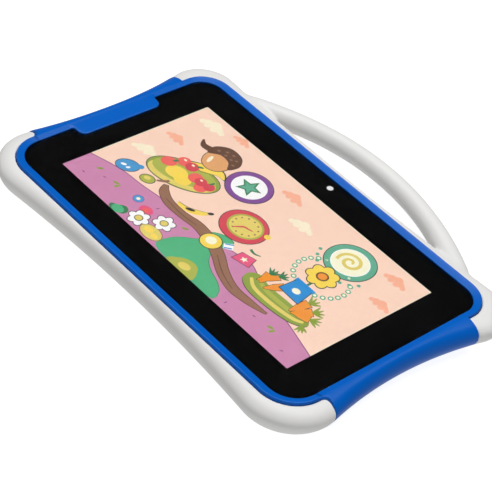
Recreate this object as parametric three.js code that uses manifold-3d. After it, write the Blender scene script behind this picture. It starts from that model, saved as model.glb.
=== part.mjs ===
// Kids' toy tablet: a seven-inch tablet in a two-colour protective case with a carrying handle.
// Millimetres. +X runs along the long side, +Y towards the handle, +Z out of the screen.
// The origin is the centre of the case's flat back, which is the face the tablet lies on.
import * as THREE from "three";
import { mergeVertices } from "three/addons/utils/BufferGeometryUtils.js";
import Module from "manifold-3d";

const wasm = await Module();
wasm.setup();

// ---- Driving dimensions ----

const GAP = 0.3; // between pieces that meet
const FIT = 0.1; // between flat layers stacked on each other
const HEAD_RIM = 0.3; // straight edge of a countersunk head

// Heights of the main faces.
const RIM_TOP = 15.5; // top of the blue rim round the glass
const GLASS_TOP = 14;
const GLASS_THICK = 0.9;
const CASE_FLOOR = 4; // thickness of the case's back
const RIM_BEVEL = 0.8;

// Spans that reach past the whole part, for cutting.
const WHOLE_X = [-120, 120];
const WHOLE_Y = 90;
const WHOLE_Z = [-1, 20];
const LEFT_WALL_X = [-110, -95];

// The case's outside: a rectangle with round corners whose four sides are waisted.
// Its widest line lies at WIDEST_Z; the upper half is a little deeper and squarer than the lower half.
const WAIST_X = 102; // half width at the middle of the end sides
const END_BOW = { depth: 5, span: 45 }; // how far an end side bows, over its half length
const HALVES = {
  upper: { waist: 69, bow: { depth: 3, span: 85 }, cornerR: 17.5 },
  lower: { waist: 66.9, bow: { depth: 4.6, span: 85 }, cornerR: 24.8 },
};
const WIDEST_Z = 9.3;
const BACK_ROUND = 10.5; // how far the flat back lies inside the widest line
const FRONT_Z = 14.4; // where the outside meets the core's upright wall

// The blue core that the bumpers wrap, and the pocket in it that holds the tablet.
const CORE = { x: 98.3, y: 63.5, upperR: 14.5, lowerR: 17.5 };
const POCKET = { x: 96.4, y: 60.8, upperR: 12.5, lowerR: 15, chamfer: 3.5 };
const LIP = { x: 95, y: 59.2, upperR: 11, lowerR: 13.5 }; // edge of the lip that holds the glass down
const TAB = { x: -88.2, halfLength: 24, r: 4 }; // where the lip widens over the left bezel
const GRIP = { upper: 45, lower: 42 }; // how far the blue grips reach between the bumpers

// Bumpers.
const FLANGE = { y: 54, thick: 2.6 }; // the white band along the back edge
const BUMPER_SCREW_X = [-80, -28, 28, 80];
const BUMPER_SCREW_Y = 57.5;
const BUMPER_SCREW = { head: 2, shank: 1, length: 4.2 };

// The arched handle, moulded in one with the upper bumper.
const HANDLE = { midR: 5.2, footR: 6.3, arcR: 137, apexY: 88.7, apexZ: 9.8, footX: 76, footZ: 7.5 };

// The tablet's own shell.
const SHELL = { x: 95.9, y: 60.3, upperR: 12.2, lowerR: 14.7, wall: 1.4, chamfer: 3.5 };
const SHELL_INSIDE = { ...SHELL, chamfer: 2.6 };
const SHELL_BACK = CASE_FLOOR + GAP;
const SHELL_FLOOR = SHELL_BACK + SHELL.wall;
const SHELL_TOP = GLASS_TOP - GLASS_THICK - FIT;

// The layers under the glass, each from its lowest to its highest point.
const GASKET_Z = [12.7, SHELL_TOP];
const FRAME_Z = [9.2, 12.6];
const PANEL_Z = [10.9, 12.9];
const GUIDE_Z = [9.7, 10.8];
const SHIELD_PLATE_Z = [9.2, 9.6];
const BOARD_Z = [6.6, 7.6];
const BATTERY_Z = [5.9, 8.7];
const SCREEN = { x: 79, y: 46 }; // half size of the display panel
const FRAME_HOLE = { x: 80, y: 47 };
const ON_BOARD = BOARD_Z[1] + FIT;
const CAN = { x: -67, y: -8, halfX: 9, halfY: 19, top: 9, wall: 0.3 };
const PROCESSOR = { x: -67, y: -8, halfX: 6, halfY: 6, top: 8.5 };

// The left side, from the bottom up: sockets for charging and headphones, card slot, keys.
// A window is half the width and half the height of the hole in the case.
const USB = { y: -33.5, z: 8.95, width: 7.6, height: 2.5, wall: 0.35, window: [5.8, 2.9] };
const JACK = { y: -20, z: 8.9, size: 5.6, bore: 1.8, window: [4, 4] };
const CARD = { y: -7, z: 8.8, width: 11, thick: 0.8, length: 14.8, window: [6.3, 2.5] };
const KEY_Z = 9.5;
const KEY_HEIGHT = 4.2;
const POWER_KEY = { y: 35.5, length: 8.6, padGap: GAP, nubs: [0] };
const VOLUME_KEY = { y: 16, length: 21.6, padGap: 0.6, nubs: [-7, 7] };
const KEY_RECESS = 0.4; // how far the keys' faces lie below the case's surface
const KEY_PAD_X = [-97.7, -96.7];
const KEY_PAD_GROW = [1, 0.8]; // how far a key's pad reaches past its face, along Y and Z
const NUB_TIP_X = -93.6;
const SWITCH_TIP_X = -93.1;

// The back: speakers and rear camera.
const SPEAKER_X = [-28, 38];
const SPEAKER = { y: -49, width: 24, depth: 12, high: 2.7 };
const GRILLE = { y: -48.1, slots: 5, pitch: 3.4, width: 1.6, length: 8.6 };
const REAR_CAMERA = { x: -72, y: 46.5, barrel: 3, window: 5, hole: 7 };
const FRONT_CAMERA = { x: 0, y: 54.6, r: 2.4 };
const HOUSING_SCREW_PLACE = { x: 87, y: 49 };
const HOUSING_SCREW = { head: 1.8, shank: 0.8, length: 7 };

// ---- Materials ----

const paint = (color, roughness, metalness = 0) =>
  new THREE.MeshStandardMaterial({ color, roughness, metalness });

const BLUE = paint(0x0359b0, 0.45);
const WHITE = paint(0xeceae4, 0.5);
const GLASS = paint(0x0a0a0c, 0.08);
const DARK = paint(0x24262a, 0.55);
const GREY = paint(0xb9bcc0, 0.5);
const STEEL = paint(0xc4c6c8, 0.3, 1);
const GREEN = paint(0x1d5a3a, 0.55);
const FOIL = paint(0xc9ccd0, 0.35, 0.6);
const AMBER = paint(0xb8792a, 0.5);
const LIGHT = paint(0xf3f3ee, 0.3);

// ---- Solids ----

function solid(geometry) {
  const bare = geometry.index ? geometry.toNonIndexed() : geometry.clone();
  bare.deleteAttribute("normal");
  bare.deleteAttribute("uv");
  const merged = mergeVertices(bare, 1e-4);
  return new wasm.Manifold(
    new wasm.Mesh({
      numProp: 3,
      vertProperties: merged.attributes.position.array,
      triVerts: new Uint32Array(merged.index.array),
    }),
  );
}

function geometryOf(body) {
  const mesh = body.getMesh();
  const geometry = new THREE.BufferGeometry();
  geometry.setAttribute("position", new THREE.BufferAttribute(mesh.vertProperties, mesh.numProp));
  geometry.setIndex(new THREE.BufferAttribute(mesh.triVerts, 1));
  geometry.computeVertexNormals();
  return geometry;
}

const union = (bodies) => bodies.reduce((all, body) => all.add(body));

// A box from its lowest to its highest corner, as [low, high] on each axis.
function box([x0, x1], [y0, y1], [z0, z1]) {
  const geometry = new THREE.BoxGeometry(x1 - x0, y1 - y0, z1 - z0);
  geometry.translate((x0 + x1) / 2, (y0 + y1) / 2, (z0 + z1) / 2);
  return solid(geometry);
}

const around = (centre, half) => [centre - half, centre + half];

// An upright round post.
function post(x, y, [z0, z1], r0, r1 = r0, sides = 24) {
  const geometry = new THREE.CylinderGeometry(r1, r0, z1 - z0, sides);
  geometry.rotateX(Math.PI / 2);
  geometry.translate(x, y, (z0 + z1) / 2);
  return solid(geometry);
}

// A round bar along X.
function barX([x0, x1], y, z, r, sides = 16) {
  const geometry = new THREE.CylinderGeometry(r, r, x1 - x0, sides);
  geometry.rotateZ(Math.PI / 2);
  geometry.translate((x0 + x1) / 2, y, z);
  return solid(geometry);
}

// A closed solid through rings of equal length. Each ring is a list of Vector3, and seen from the
// last ring they run counter-clockwise. The flat outlines close the two ends.
function skin(rings, firstOutline, lastOutline) {
  const count = firstOutline.length;
  const last = (rings.length - 1) * count;
  const index = [];
  for (let start = 0; start < last; start += count) {
    for (let i = 0; i < count; i += 1) {
      const a = start + i;
      const b = start + ((i + 1) % count);
      index.push(a, b, b + count, a, b + count, a + count);
    }
  }
  for (const [a, b, c] of THREE.ShapeUtils.triangulateShape(firstOutline, [])) index.push(a, c, b);
  for (const [a, b, c] of THREE.ShapeUtils.triangulateShape(lastOutline, [])) {
    index.push(last + a, last + b, last + c);
  }
  const geometry = new THREE.BufferGeometry().setFromPoints(rings.flat());
  geometry.setIndex(index);
  return solid(geometry);
}

// A solid through outlines of equal length, stacked upwards.
function loft(levels) {
  const rings = levels.map(({ points, z }) => points.map((p) => new THREE.Vector3(p.x, p.y, z)));
  return skin(rings, levels[0].points, levels.at(-1).points);
}

// Points on an arc, leaving out the last one.
function arc(cx, cy, r, from, to, steps) {
  return Array.from({ length: steps }, (_, i) => {
    const angle = from + ((to - from) * i) / steps;
    return new THREE.Vector2(cx + r * Math.cos(angle), cy + r * Math.sin(angle));
  });
}

// A rectangle with round corners, counter-clockwise, given by its half sizes.
function roundedRect(x, y, upperR, lowerR = upperR, steps = 7) {
  const quarter = Math.PI / 2;
  const corners = [
    [1, 1, upperR],
    [-1, 1, upperR],
    [-1, -1, lowerR],
    [1, -1, lowerR],
  ];
  return corners.flatMap(([sx, sy, r], i) => {
    const centre = [sx * (x - r), sy * (y - r)];
    const end = (i + 1) * quarter;
    return [...arc(...centre, r, i * quarter, end, steps), ...arc(...centre, r, end, end, 1)];
  });
}

// The same for one of the rectangles above, moved outwards by grow.
const outlineOf = ({ x, y, upperR, lowerR }, grow = 0) =>
  roundedRect(x + grow, y + grow, upperR + grow, lowerR + grow);

const plate = (points, [z0, z1]) =>
  loft([
    { points, z: z0 },
    { points, z: z1 },
  ]);


// ---- The case ----

// The radius of an arc that rises by depth over half its chord.
const arcRadius = ({ depth, span }) => (span ** 2 + depth ** 2) / (2 * depth);

// A quarter of the case's outline, moved inwards by inset: two concave arcs joined by a corner arc.
// It runs from the middle of the right end to the middle of the long side.
function quarterOutline({ waist, bow, cornerR }, inset) {
  const endR = arcRadius(END_BOW);
  const longR = arcRadius(bow);
  const endX = WAIST_X + endR;
  const longY = waist + longR;
  const corner = cornerCentre(endX, endR + cornerR, longY, longR + cornerR);
  const endTurn = Math.atan2(corner.y, endX - corner.x);
  const longTurn = Math.atan2(corner.x, longY - corner.y);
  return [
    ...arc(endX, 0, endR + inset, Math.PI, Math.PI - endTurn, 5),
    ...arc(corner.x, corner.y, cornerR - inset, -endTurn, Math.PI / 2 + longTurn, 9),
    ...arc(0, longY, longR + inset, longTurn - Math.PI / 2, -Math.PI / 2, 6),
  ];
}

// The point at distance ra from (endX, 0) and rb from (0, longY), on the side of the origin.
function cornerCentre(endX, ra, longY, rb) {
  const gap = Math.hypot(endX, longY);
  const along = (ra ** 2 - rb ** 2 + gap ** 2) / (2 * gap);
  const off = Math.sqrt(ra ** 2 - along ** 2);
  const unit = new THREE.Vector2(-endX / gap, longY / gap);
  return new THREE.Vector2(endX + along * unit.x - off * unit.y, along * unit.y + off * unit.x);
}

// The whole outline, counter-clockwise from the middle of the right end.
function waistedOutline(inset) {
  const upper = quarterOutline(HALVES.upper, inset);
  const lower = quarterOutline(HALVES.lower, inset);
  const mirrored = (sx, sy, points) => points.map((p) => new THREE.Vector2(sx * p.x, sy * p.y));
  const backwards = (points, waist) => [new THREE.Vector2(0, waist), ...points.slice(1).reverse()];
  return [
    ...upper,
    ...mirrored(-1, 1, backwards(upper, HALVES.upper.waist - inset)),
    ...mirrored(-1, -1, lower),
    ...mirrored(1, -1, backwards(lower, HALVES.lower.waist - inset)),
  ];
}

// The point of the core's outline nearest to p.
function onCore(p) {
  const r = p.y > 0 ? CORE.upperR : CORE.lowerR;
  const reach = new THREE.Vector2(CORE.x - r, CORE.y - r);
  const centre = p.clone().clamp(reach.clone().negate(), reach);
  return centre.addScaledVector(p.clone().sub(centre).normalize(), r);
}

// The whole outside of the case, before it is split into core and bumpers: it swells from the flat
// back to its widest line, and from there it closes in on the core's wall.
function outerBody() {
  const quarter = Math.PI / 2;
  const steps = 5;
  const widest = waistedOutline(0);
  const foot = widest.map(onCore);
  const rings = [];
  for (let i = 0; i <= steps; i += 1) {
    const angle = (quarter * i) / steps;
    const z = WIDEST_Z * (1 - Math.cos(angle));
    rings.push({ points: waistedOutline(BACK_ROUND * (1 - Math.sin(angle))), z });
  }
  for (let i = 1; i <= steps; i += 1) {
    const angle = (quarter * i) / steps;
    const points = widest.map((p, k) => foot[k].clone().lerp(p, Math.cos(angle)));
    rings.push({ points, z: WIDEST_Z + (FRONT_Z - WIDEST_Z) * Math.sin(angle) });
  }
  return loft(rings);
}

// The core's upright wall and rim, widened by grow.
function coreBlock(grow, [z0, z1], bevel = 0) {
  return loft([
    { points: outlineOf(CORE, grow), z: z0 },
    { points: outlineOf(CORE, grow), z: z1 - bevel },
    ...(bevel ? [{ points: outlineOf(CORE, grow - bevel * 0.7), z: z1 }] : []),
  ]);
}

// The space for the tablet: its back edge is chamfered all round, like the tablet's own.
function chamferedBlock(rect, z0, z1, grow = 0) {
  return loft([
    { points: outlineOf(rect, grow - rect.chamfer), z: z0 },
    { points: outlineOf(rect, grow), z: z0 + rect.chamfer },
    { points: outlineOf(rect, grow), z: z1 },
  ]);
}

// The hole in the lip that shows the glass, with the tab left standing on its left side.
function lipHole() {
  const heights = [GLASS_TOP - GAP, RIM_TOP + 1];
  const hole = plate(outlineOf(LIP), heights);
  const width = TAB.x + LIP.x;
  const tab = plate(roundedRect(width + TAB.r, TAB.halfLength, TAB.r), heights);
  return hole.subtract(tab.translate([-LIP.x - TAB.r, 0, 0]));
}

const grilleSlots = (heights) =>
  SPEAKER_X.flatMap((centre) =>
    Array.from({ length: GRILLE.slots }, (_, i) => {
      const x = centre + (i - (GRILLE.slots - 1) / 2) * GRILLE.pitch;
      return box(around(x, GRILLE.width / 2), around(GRILLE.y, GRILLE.length / 2), heights);
    }),
  );

// A key's window through the case wall, with a pocket behind it for the key's pad.
function keyWindow(key) {
  const [growY, growZ] = KEY_PAD_GROW;
  const through = box(
    LEFT_WALL_X,
    around(key.y, key.length / 2 + GAP),
    around(KEY_Z, KEY_HEIGHT / 2 + GAP),
  );
  const pocket = box(
    [KEY_PAD_X[0] - key.padGap, LEFT_WALL_X[1]],
    around(key.y, key.length / 2 + growY + 2 * GAP),
    around(KEY_Z, KEY_HEIGHT / 2 + growZ + GAP),
  );
  return through.add(pocket);
}

const socketWindow = ({ y, z, window }) => box(LEFT_WALL_X, around(y, window[0]), around(z, window[1]));

const sideWindows = () => [
  ...[POWER_KEY, VOLUME_KEY].map(keyWindow),
  ...[USB, JACK, CARD].map(socketWindow),
];

const bumperScrewPlaces = (side) => BUMPER_SCREW_X.map((x) => [x, side * BUMPER_SCREW_Y]);

function innerCase(outer) {
  const grips = box(WHOLE_X, [-GRIP.lower, GRIP.upper], WHOLE_Z);
  const body = outer.intersect(grips.add(coreBlock(0, [-1, GLASS_TOP])));
  const rim = coreBlock(0, [WIDEST_Z, RIM_TOP], RIM_BEVEL);
  const pocket = chamferedBlock(POCKET, CASE_FLOOR, GLASS_TOP + 2 * FIT);
  const cuts = [pocket, lipHole(), ...sideWindows(), ...grilleSlots([-1, CASE_FLOOR + 1])];
  cuts.push(post(REAR_CAMERA.x, REAR_CAMERA.y, [-1, CASE_FLOOR + 1], REAR_CAMERA.hole));
  for (const side of [-1, 1]) {
    const band = side > 0 ? [FLANGE.y - GAP, WHOLE_Y] : [-WHOLE_Y, GAP - FLANGE.y];
    const bore = BUMPER_SCREW.length + FIT + GAP;
    cuts.push(box(WHOLE_X, band, [-1, FLANGE.thick + GAP]));
    for (const [x, y] of bumperScrewPlaces(side)) cuts.push(screwHole(x, y, 0, bore, BUMPER_SCREW));
  }
  return body.add(rim).subtract(union(cuts));
}

// One bumper: the outside of the case beyond the core, and a band along the back that takes the screws.
function bumper(outer, side) {
  const half = side > 0 ? [GRIP.upper + GAP, WHOLE_Y] : [-WHOLE_Y, -GRIP.lower - GAP];
  const band = side > 0 ? [FLANGE.y, WHOLE_Y] : [-WHOLE_Y, -FLANGE.y];
  const wrap = outer.intersect(box(WHOLE_X, half, WHOLE_Z)).subtract(coreBlock(GAP, WHOLE_Z));
  const flange = outer.intersect(box(WHOLE_X, band, [-1, FLANGE.thick]));
  const bore = FLANGE.thick + 1;
  const holes = bumperScrewPlaces(side).map(([x, y]) => screwHole(x, y, 0, bore, BUMPER_SCREW));
  return wrap.add(flange).subtract(union(holes));
}

// The handle's centre line: an arc in plan that rises a little towards its middle.
class HandleCurve extends THREE.Curve {
  getPoint(t, target = new THREE.Vector3()) {
    const x = HANDLE.footX * (2 * t - 1);
    const y = HANDLE.apexY - HANDLE.arcR + Math.sqrt(HANDLE.arcR ** 2 - x ** 2);
    const z = HANDLE.apexZ - (HANDLE.apexZ - HANDLE.footZ) * (x / HANDLE.footX) ** 2;
    return target.set(x, y, z);
  }
}

// A round bar along that line, which thickens towards its feet.
function handleBar() {
  const steps = 28;
  const line = new HandleCurve();
  const circle = arc(0, 0, 1, 0, 2 * Math.PI, 14);
  const up = new THREE.Vector3(0, 0, 1);
  const rings = Array.from({ length: steps + 1 }, (_, i) => {
    const t = i / steps;
    const r = HANDLE.midR + (HANDLE.footR - HANDLE.midR) * (2 * t - 1) ** 4;
    const side = up.clone().cross(line.getTangent(t)).normalize();
    const centre = line.getPoint(t);
    return circle.map((p) => centre.clone().addScaledVector(side, r * p.x).addScaledVector(up, r * p.y));
  });
  return skin(rings, circle, circle);
}

function upperBumper(outer) {
  const bar = handleBar().subtract(coreBlock(GAP, WHOLE_Z));
  const high = bar.intersect(box(WHOLE_X, [CORE.y, HANDLE.apexY + 20], [2 * FIT, WHOLE_Z[1]]));
  return bumper(outer, 1).add(high);
}

// A countersunk screw, head down, whose head lies just inside a face at height z.
function screw(x, y, z, { head, shank, length }) {
  const profile = [
    [0, 0],
    [head, 0],
    [head, HEAD_RIM],
    [shank, HEAD_RIM + head - shank],
    [shank, length - 0.6],
    [0, length],
  ].map(([r, height]) => new THREE.Vector2(r, height));
  const turned = new THREE.LatheGeometry(profile, 12);
  turned.rotateX(Math.PI / 2);
  turned.translate(x, y, z + FIT);
  const long = around(0, head * 0.6);
  const narrow = around(0, 0.25);
  const depth = [z - 1, z + 0.7];
  const recess = box(long, narrow, depth).add(box(narrow, long, depth));
  return solid(turned).subtract(recess.translate([x, y, 0]));
}

// The hole for such a screw: a countersink at the face, and a straight hole up to top.
function screwHole(x, y, z, top, { head, shank }) {
  const room = 0.15;
  const coneTop = z + FIT + HEAD_RIM + head - shank;
  const mouth = head + room + FIT + HEAD_RIM + 1;
  const cone = post(x, y, [coneTop - mouth + shank + room, coneTop], mouth, shank + room, 16);
  return cone.add(post(x, y, [coneTop - 0.5, top], shank + room, shank + room, 12));
}

// ---- The tablet's shell and display ----

function rearHousing() {
  const outside = chamferedBlock(SHELL, SHELL_BACK, SHELL_TOP);
  const cuts = [chamferedBlock(SHELL_INSIDE, SHELL_FLOOR, SHELL_TOP + 1, -SHELL.wall)];
  const wall = [-100, -90];
  for (const key of [POWER_KEY, VOLUME_KEY]) {
    for (const nub of key.nubs) cuts.push(barX(wall, key.y + nub, KEY_Z, 1.7, 12));
  }
  cuts.push(box(wall, around(USB.y, USB.width / 2 + GAP), around(USB.z, USB.height / 2 + GAP)));
  cuts.push(box(wall, around(JACK.y, JACK.size / 2 + GAP), around(JACK.z, JACK.size / 2 + GAP)));
  cuts.push(box(wall, around(CARD.y, CARD.width / 2 + 0.5), around(CARD.z, CARD.thick / 2 + 0.4)));
  cuts.push(...grilleSlots([SHELL_BACK - 1, SHELL_FLOOR + 1]));
  const throughFloor = [SHELL_BACK - 1, SHELL_FLOOR + 1];
  cuts.push(post(REAR_CAMERA.x, REAR_CAMERA.y, throughFloor, REAR_CAMERA.barrel + GAP));
  for (const [x, y] of housingScrewPlaces()) {
    cuts.push(screwHole(x, y, SHELL_BACK, SHELL_FLOOR + 1, HOUSING_SCREW));
  }
  return outside.subtract(union(cuts));
}

const housingScrewPlaces = () =>
  [-1, 1].flatMap((sx) => [-1, 1].map((sy) => [sx * HOUSING_SCREW_PLACE.x, sy * HOUSING_SCREW_PLACE.y]));

const coverGlass = () => plate(outlineOf(SHELL, -0.2), [GLASS_TOP - GLASS_THICK, GLASS_TOP]);

function glassGasket() {
  const outside = plate(outlineOf(SHELL, -SHELL.wall - GAP), GASKET_Z);
  const hole = roundedRect(SCREEN.x + 4, SCREEN.y + 4, 2, 2, 3);
  const inside = plate(hole, [GASKET_Z[0] - 1, GASKET_Z[1] + 1]);
  return outside.subtract(inside);
}

function midFrame() {
  const outside = plate(outlineOf(SHELL, -SHELL.wall - GAP), FRAME_Z);
  const through = [FRAME_Z[0] - 1, FRAME_Z[1] + 1];
  const under = [FRAME_Z[0] - 1, FRAME_Z[1] - 0.5];
  const cuts = [
    plate(roundedRect(FRAME_HOLE.x, FRAME_HOLE.y, 1, 1, 2), through),
    box([-95, -84.5], [-42, 42], under), // room for the switches
    box([-95, -79.3], [-24, 1], under), // room for the headphone and card sockets
    post(FRONT_CAMERA.x, FRONT_CAMERA.y, through, FRONT_CAMERA.r + GAP),
  ];
  for (const [x, y] of housingScrewPlaces()) cuts.push(post(x, y, under, 1, 1, 12));
  return outside.subtract(union(cuts));
}

const layer = (half, heights, inset = 0) =>
  plate(roundedRect(half.x - inset, half.y - inset, 1, 1, 2), heights);

// ---- Board, sockets and switches ----

function mainBoard() {
  const board = box([-91.6, -57], [-45, 38], BOARD_Z);
  const jackNotch = box([-93, -81], around(JACK.y, JACK.size / 2 + GAP), WHOLE_Z);
  return board.subtract(jackNotch);
}

const onBoard = ({ x, y, halfX, halfY }, heights, inset = 0) =>
  box(around(x, halfX - inset), around(y, halfY - inset), heights);

function shieldCan() {
  const outside = onBoard(CAN, [ON_BOARD, CAN.top]);
  return outside.subtract(onBoard(CAN, [ON_BOARD - 1, CAN.top - CAN.wall], CAN.wall));
}

function usbConnector() {
  const [halfY, halfZ] = [USB.width / 2, USB.height / 2];
  const shell = box([-95.6, -89.5], around(USB.y, halfY), around(USB.z, halfZ));
  const mouth = box([-97, -90.5], around(USB.y, halfY - USB.wall), around(USB.z, halfZ - USB.wall));
  const tongue = box([-94.6, -90], around(USB.y, 2.2), around(USB.z + 0.3, 0.3));
  return shell.subtract(mouth).add(tongue);
}

function headphoneJack() {
  const body = box([-93.9, -81.5], around(JACK.y, JACK.size / 2), around(JACK.z, JACK.size / 2));
  return body.subtract(barX([-96, -82.5], JACK.y, JACK.z, JACK.bore));
}

function cardSocket() {
  const body = box([-92.9, -79.6], around(CARD.y, CARD.width / 2 + 1), [ON_BOARD, 9.9]);
  const [halfY, halfZ] = [CARD.width / 2 + GAP, CARD.thick / 2 + GAP];
  const mouth = box([-95, -80.2], around(CARD.y, halfY), around(CARD.z, halfZ));
  return body.subtract(mouth);
}

const memoryCard = () =>
  box([-95.4, -95.4 + CARD.length], around(CARD.y, CARD.width / 2), around(CARD.z, CARD.thick / 2));

// A side-pressed switch on the board's edge, with its short plunger towards the key.
function tactSwitch(y) {
  const body = box([-92.3, -89.8], around(y, 2.3), [ON_BOARD, 10.9]);
  return body.add(barX([SWITCH_TIP_X, -92], y, KEY_Z, 0.8, 12));
}

// A key: its cap follows the case's surface, its pad keeps it in, and its nubs reach the switches.
function sideKey(outer, key) {
  const [halfY, halfZ] = [key.length / 2, KEY_HEIGHT / 2];
  const [growY, growZ] = KEY_PAD_GROW;
  const padMiddle = (KEY_PAD_X[0] + KEY_PAD_X[1]) / 2;
  const capR = halfZ - 0.2;
  const barLength = 12;
  const bar = plate(roundedRect(halfY, halfZ, capR, capR, 4), [0, barLength]).rotate([90, 0, 90]);
  const surface = outer.translate([KEY_RECESS, 0, 0]);
  const cap = bar.translate([padMiddle - barLength, key.y, KEY_Z]).intersect(surface);
  const pad = box(KEY_PAD_X, around(key.y, halfY + growY), around(KEY_Z, halfZ + growZ));
  const nubs = key.nubs.map((nub) => barX([padMiddle, NUB_TIP_X], key.y + nub, KEY_Z, 1, 12));
  return union([cap, pad, ...nubs]);
}

// ---- Power, sound and cameras ----

const batteryCell = (x) =>
  plate(
    roundedRect(33, 37, 2, 2, 3).map((p) => new THREE.Vector2(p.x + x, p.y)),
    BATTERY_Z,
  );

const speaker = (x) =>
  box(around(x, SPEAKER.width / 2), around(SPEAKER.y, SPEAKER.depth / 2), [6.2, 6.2 + SPEAKER.high]);

const speakerMesh = (x) =>
  box(around(x, SPEAKER.width / 2 - 2), around(SPEAKER.y, SPEAKER.depth / 2), [SHELL_FLOOR + FIT, 6.1]);

// A thin ribbon of the given width in Y, along points in X and Z.
function ribbon(points, y, width, thick) {
  const outline = [
    ...points,
    ...points.map(([x, z]) => [x, z + thick]).reverse(),
  ].map(([x, z]) => new THREE.Vector2(x, z));
  const shape = new THREE.Shape(outline);
  const geometry = new THREE.ExtrudeGeometry(shape, { depth: width, bevelEnabled: false });
  geometry.rotateX(Math.PI / 2);
  geometry.translate(0, y + width / 2, 0);
  return solid(geometry);
}

const displayFlex = () =>
  ribbon([[-62, ON_BOARD], [-55, ON_BOARD], [-53.5, 8.85], [-30, 8.85]], 28, 16, 0.15);

const batteryLead = () =>
  ribbon([[-62, ON_BOARD], [-56, ON_BOARD], [-53.2, 7.2], [-51.6, 7.2]], -34, 6, 0.5);

function rearCamera() {
  const module = box(around(REAR_CAMERA.x, 4.2), around(REAR_CAMERA.y, 4.2), [SHELL_FLOOR + 0.2, 9]);
  return module.add(post(REAR_CAMERA.x, REAR_CAMERA.y, [SHELL_BACK + 0.2, 6.5], REAR_CAMERA.barrel));
}

const rearCameraWindow = () =>
  post(REAR_CAMERA.x, REAR_CAMERA.y, [CASE_FLOOR - 0.5, SHELL_BACK - FIT], REAR_CAMERA.window);

// ---- Assembly ----

const tablet = new THREE.Group();

function place(name, body, material) {
  const mesh = new THREE.Mesh(geometryOf(body), material);
  mesh.name = name;
  tablet.add(mesh);
}

function placeCase() {
  const outer = outerBody();
  place("inner_case", innerCase(outer), BLUE);
  place("upper_bumper_with_handle", upperBumper(outer), WHITE);
  place("lower_bumper", bumper(outer, -1), WHITE);
  for (const [name, side] of [["upper", 1], ["lower", -1]]) {
    bumperScrewPlaces(side).forEach(([x, y], i) => {
      place(`${name}_bumper_screw_${i + 1}`, screw(x, y, 0, BUMPER_SCREW), STEEL);
    });
  }
  place("power_button", sideKey(outer, POWER_KEY), WHITE);
  place("volume_rocker", sideKey(outer, VOLUME_KEY), WHITE);
}

function placeShellAndDisplay() {
  place("rear_housing", rearHousing(), GREY);
  place("mid_frame", midFrame(), DARK);
  place("glass_gasket", glassGasket(), DARK);
  place("cover_glass", coverGlass(), GLASS);
  place("display_panel", layer(SCREEN, PANEL_Z), DARK);
  place("light_guide", layer(SCREEN, GUIDE_Z, 0.5), LIGHT);
  place("display_backplate", layer(SCREEN, SHIELD_PLATE_Z), STEEL);
  housingScrewPlaces().forEach(([x, y], i) => {
    place(`housing_screw_${i + 1}`, screw(x, y, SHELL_BACK, HOUSING_SCREW), STEEL);
  });
}

function placeElectronics() {
  place("main_board", mainBoard(), GREEN);
  place("processor", onBoard(PROCESSOR, [ON_BOARD, PROCESSOR.top]), DARK);
  place("shield_can", shieldCan(), STEEL);
  place("usb_connector", usbConnector(), STEEL);
  place("headphone_jack", headphoneJack(), DARK);
  place("card_socket", cardSocket(), STEEL);
  place("memory_card", memoryCard(), DARK);
  place("microphone", post(-88.5, 3, [ON_BOARD, 8.9], 2, 2, 16), STEEL);
  place("power_switch", tactSwitch(POWER_KEY.y), DARK);
  place("volume_up_switch", tactSwitch(VOLUME_KEY.y + VOLUME_KEY.nubs[1]), DARK);
  place("volume_down_switch", tactSwitch(VOLUME_KEY.y + VOLUME_KEY.nubs[0]), DARK);
  place("battery_cell_left", batteryCell(-17), FOIL);
  place("battery_cell_right", batteryCell(52), FOIL);
  place("battery_lead", batteryLead(), AMBER);
  place("display_flex", displayFlex(), AMBER);
  place("wifi_antenna", box([92.4, 92.8], [-22, 22], [8.2, 9.1]), AMBER);
  place("front_camera", post(FRONT_CAMERA.x, FRONT_CAMERA.y, [9.6, 12.6], FRONT_CAMERA.r), DARK);
  place("rear_camera", rearCamera(), DARK);
  place("rear_camera_window", rearCameraWindow(), GLASS);
  for (const [name, x] of [["left", SPEAKER_X[0]], ["right", SPEAKER_X[1]]]) {
    place(`speaker_${name}`, speaker(x), DARK);
    place(`speaker_mesh_${name}`, speakerMesh(x), STEEL);
  }
}

placeCase();
placeShellAndDisplay();
placeElectronics();

export default tablet;
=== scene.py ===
"""The looks of a kids' toy tablet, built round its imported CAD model.

Sizes in this file are millimetres in the CAD frame and become metres as each mesh is made.
"""
import math

import bmesh
import bpy
import numpy as np
from mathutils import Matrix, Vector
from mathutils.bvhtree import BVHTree


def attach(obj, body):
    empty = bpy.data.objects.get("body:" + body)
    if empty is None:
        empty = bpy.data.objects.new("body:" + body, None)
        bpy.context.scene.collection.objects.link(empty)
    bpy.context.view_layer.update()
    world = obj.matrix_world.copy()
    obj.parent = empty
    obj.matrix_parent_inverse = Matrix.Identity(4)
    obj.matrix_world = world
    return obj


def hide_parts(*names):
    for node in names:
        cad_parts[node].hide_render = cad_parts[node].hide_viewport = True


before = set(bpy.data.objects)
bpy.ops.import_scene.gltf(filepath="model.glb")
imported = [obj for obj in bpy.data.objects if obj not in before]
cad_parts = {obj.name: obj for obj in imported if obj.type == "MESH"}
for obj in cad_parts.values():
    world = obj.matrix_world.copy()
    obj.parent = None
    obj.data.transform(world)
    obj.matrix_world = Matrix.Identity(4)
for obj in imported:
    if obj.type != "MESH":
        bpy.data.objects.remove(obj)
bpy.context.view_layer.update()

MM = 0.001
GAP = 0.3  # between a fixed piece and the one it sits in
# These reach past the case on every side, for cutters.
WHOLE_X = 120.0
WHOLE_Y = 90.0
WHOLE_Z = (-5.0, 25.0)
BELOW_Z = -1.0  # just under the flat back

# ---- The case's driving sizes, the same as the CAD model's ----

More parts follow.
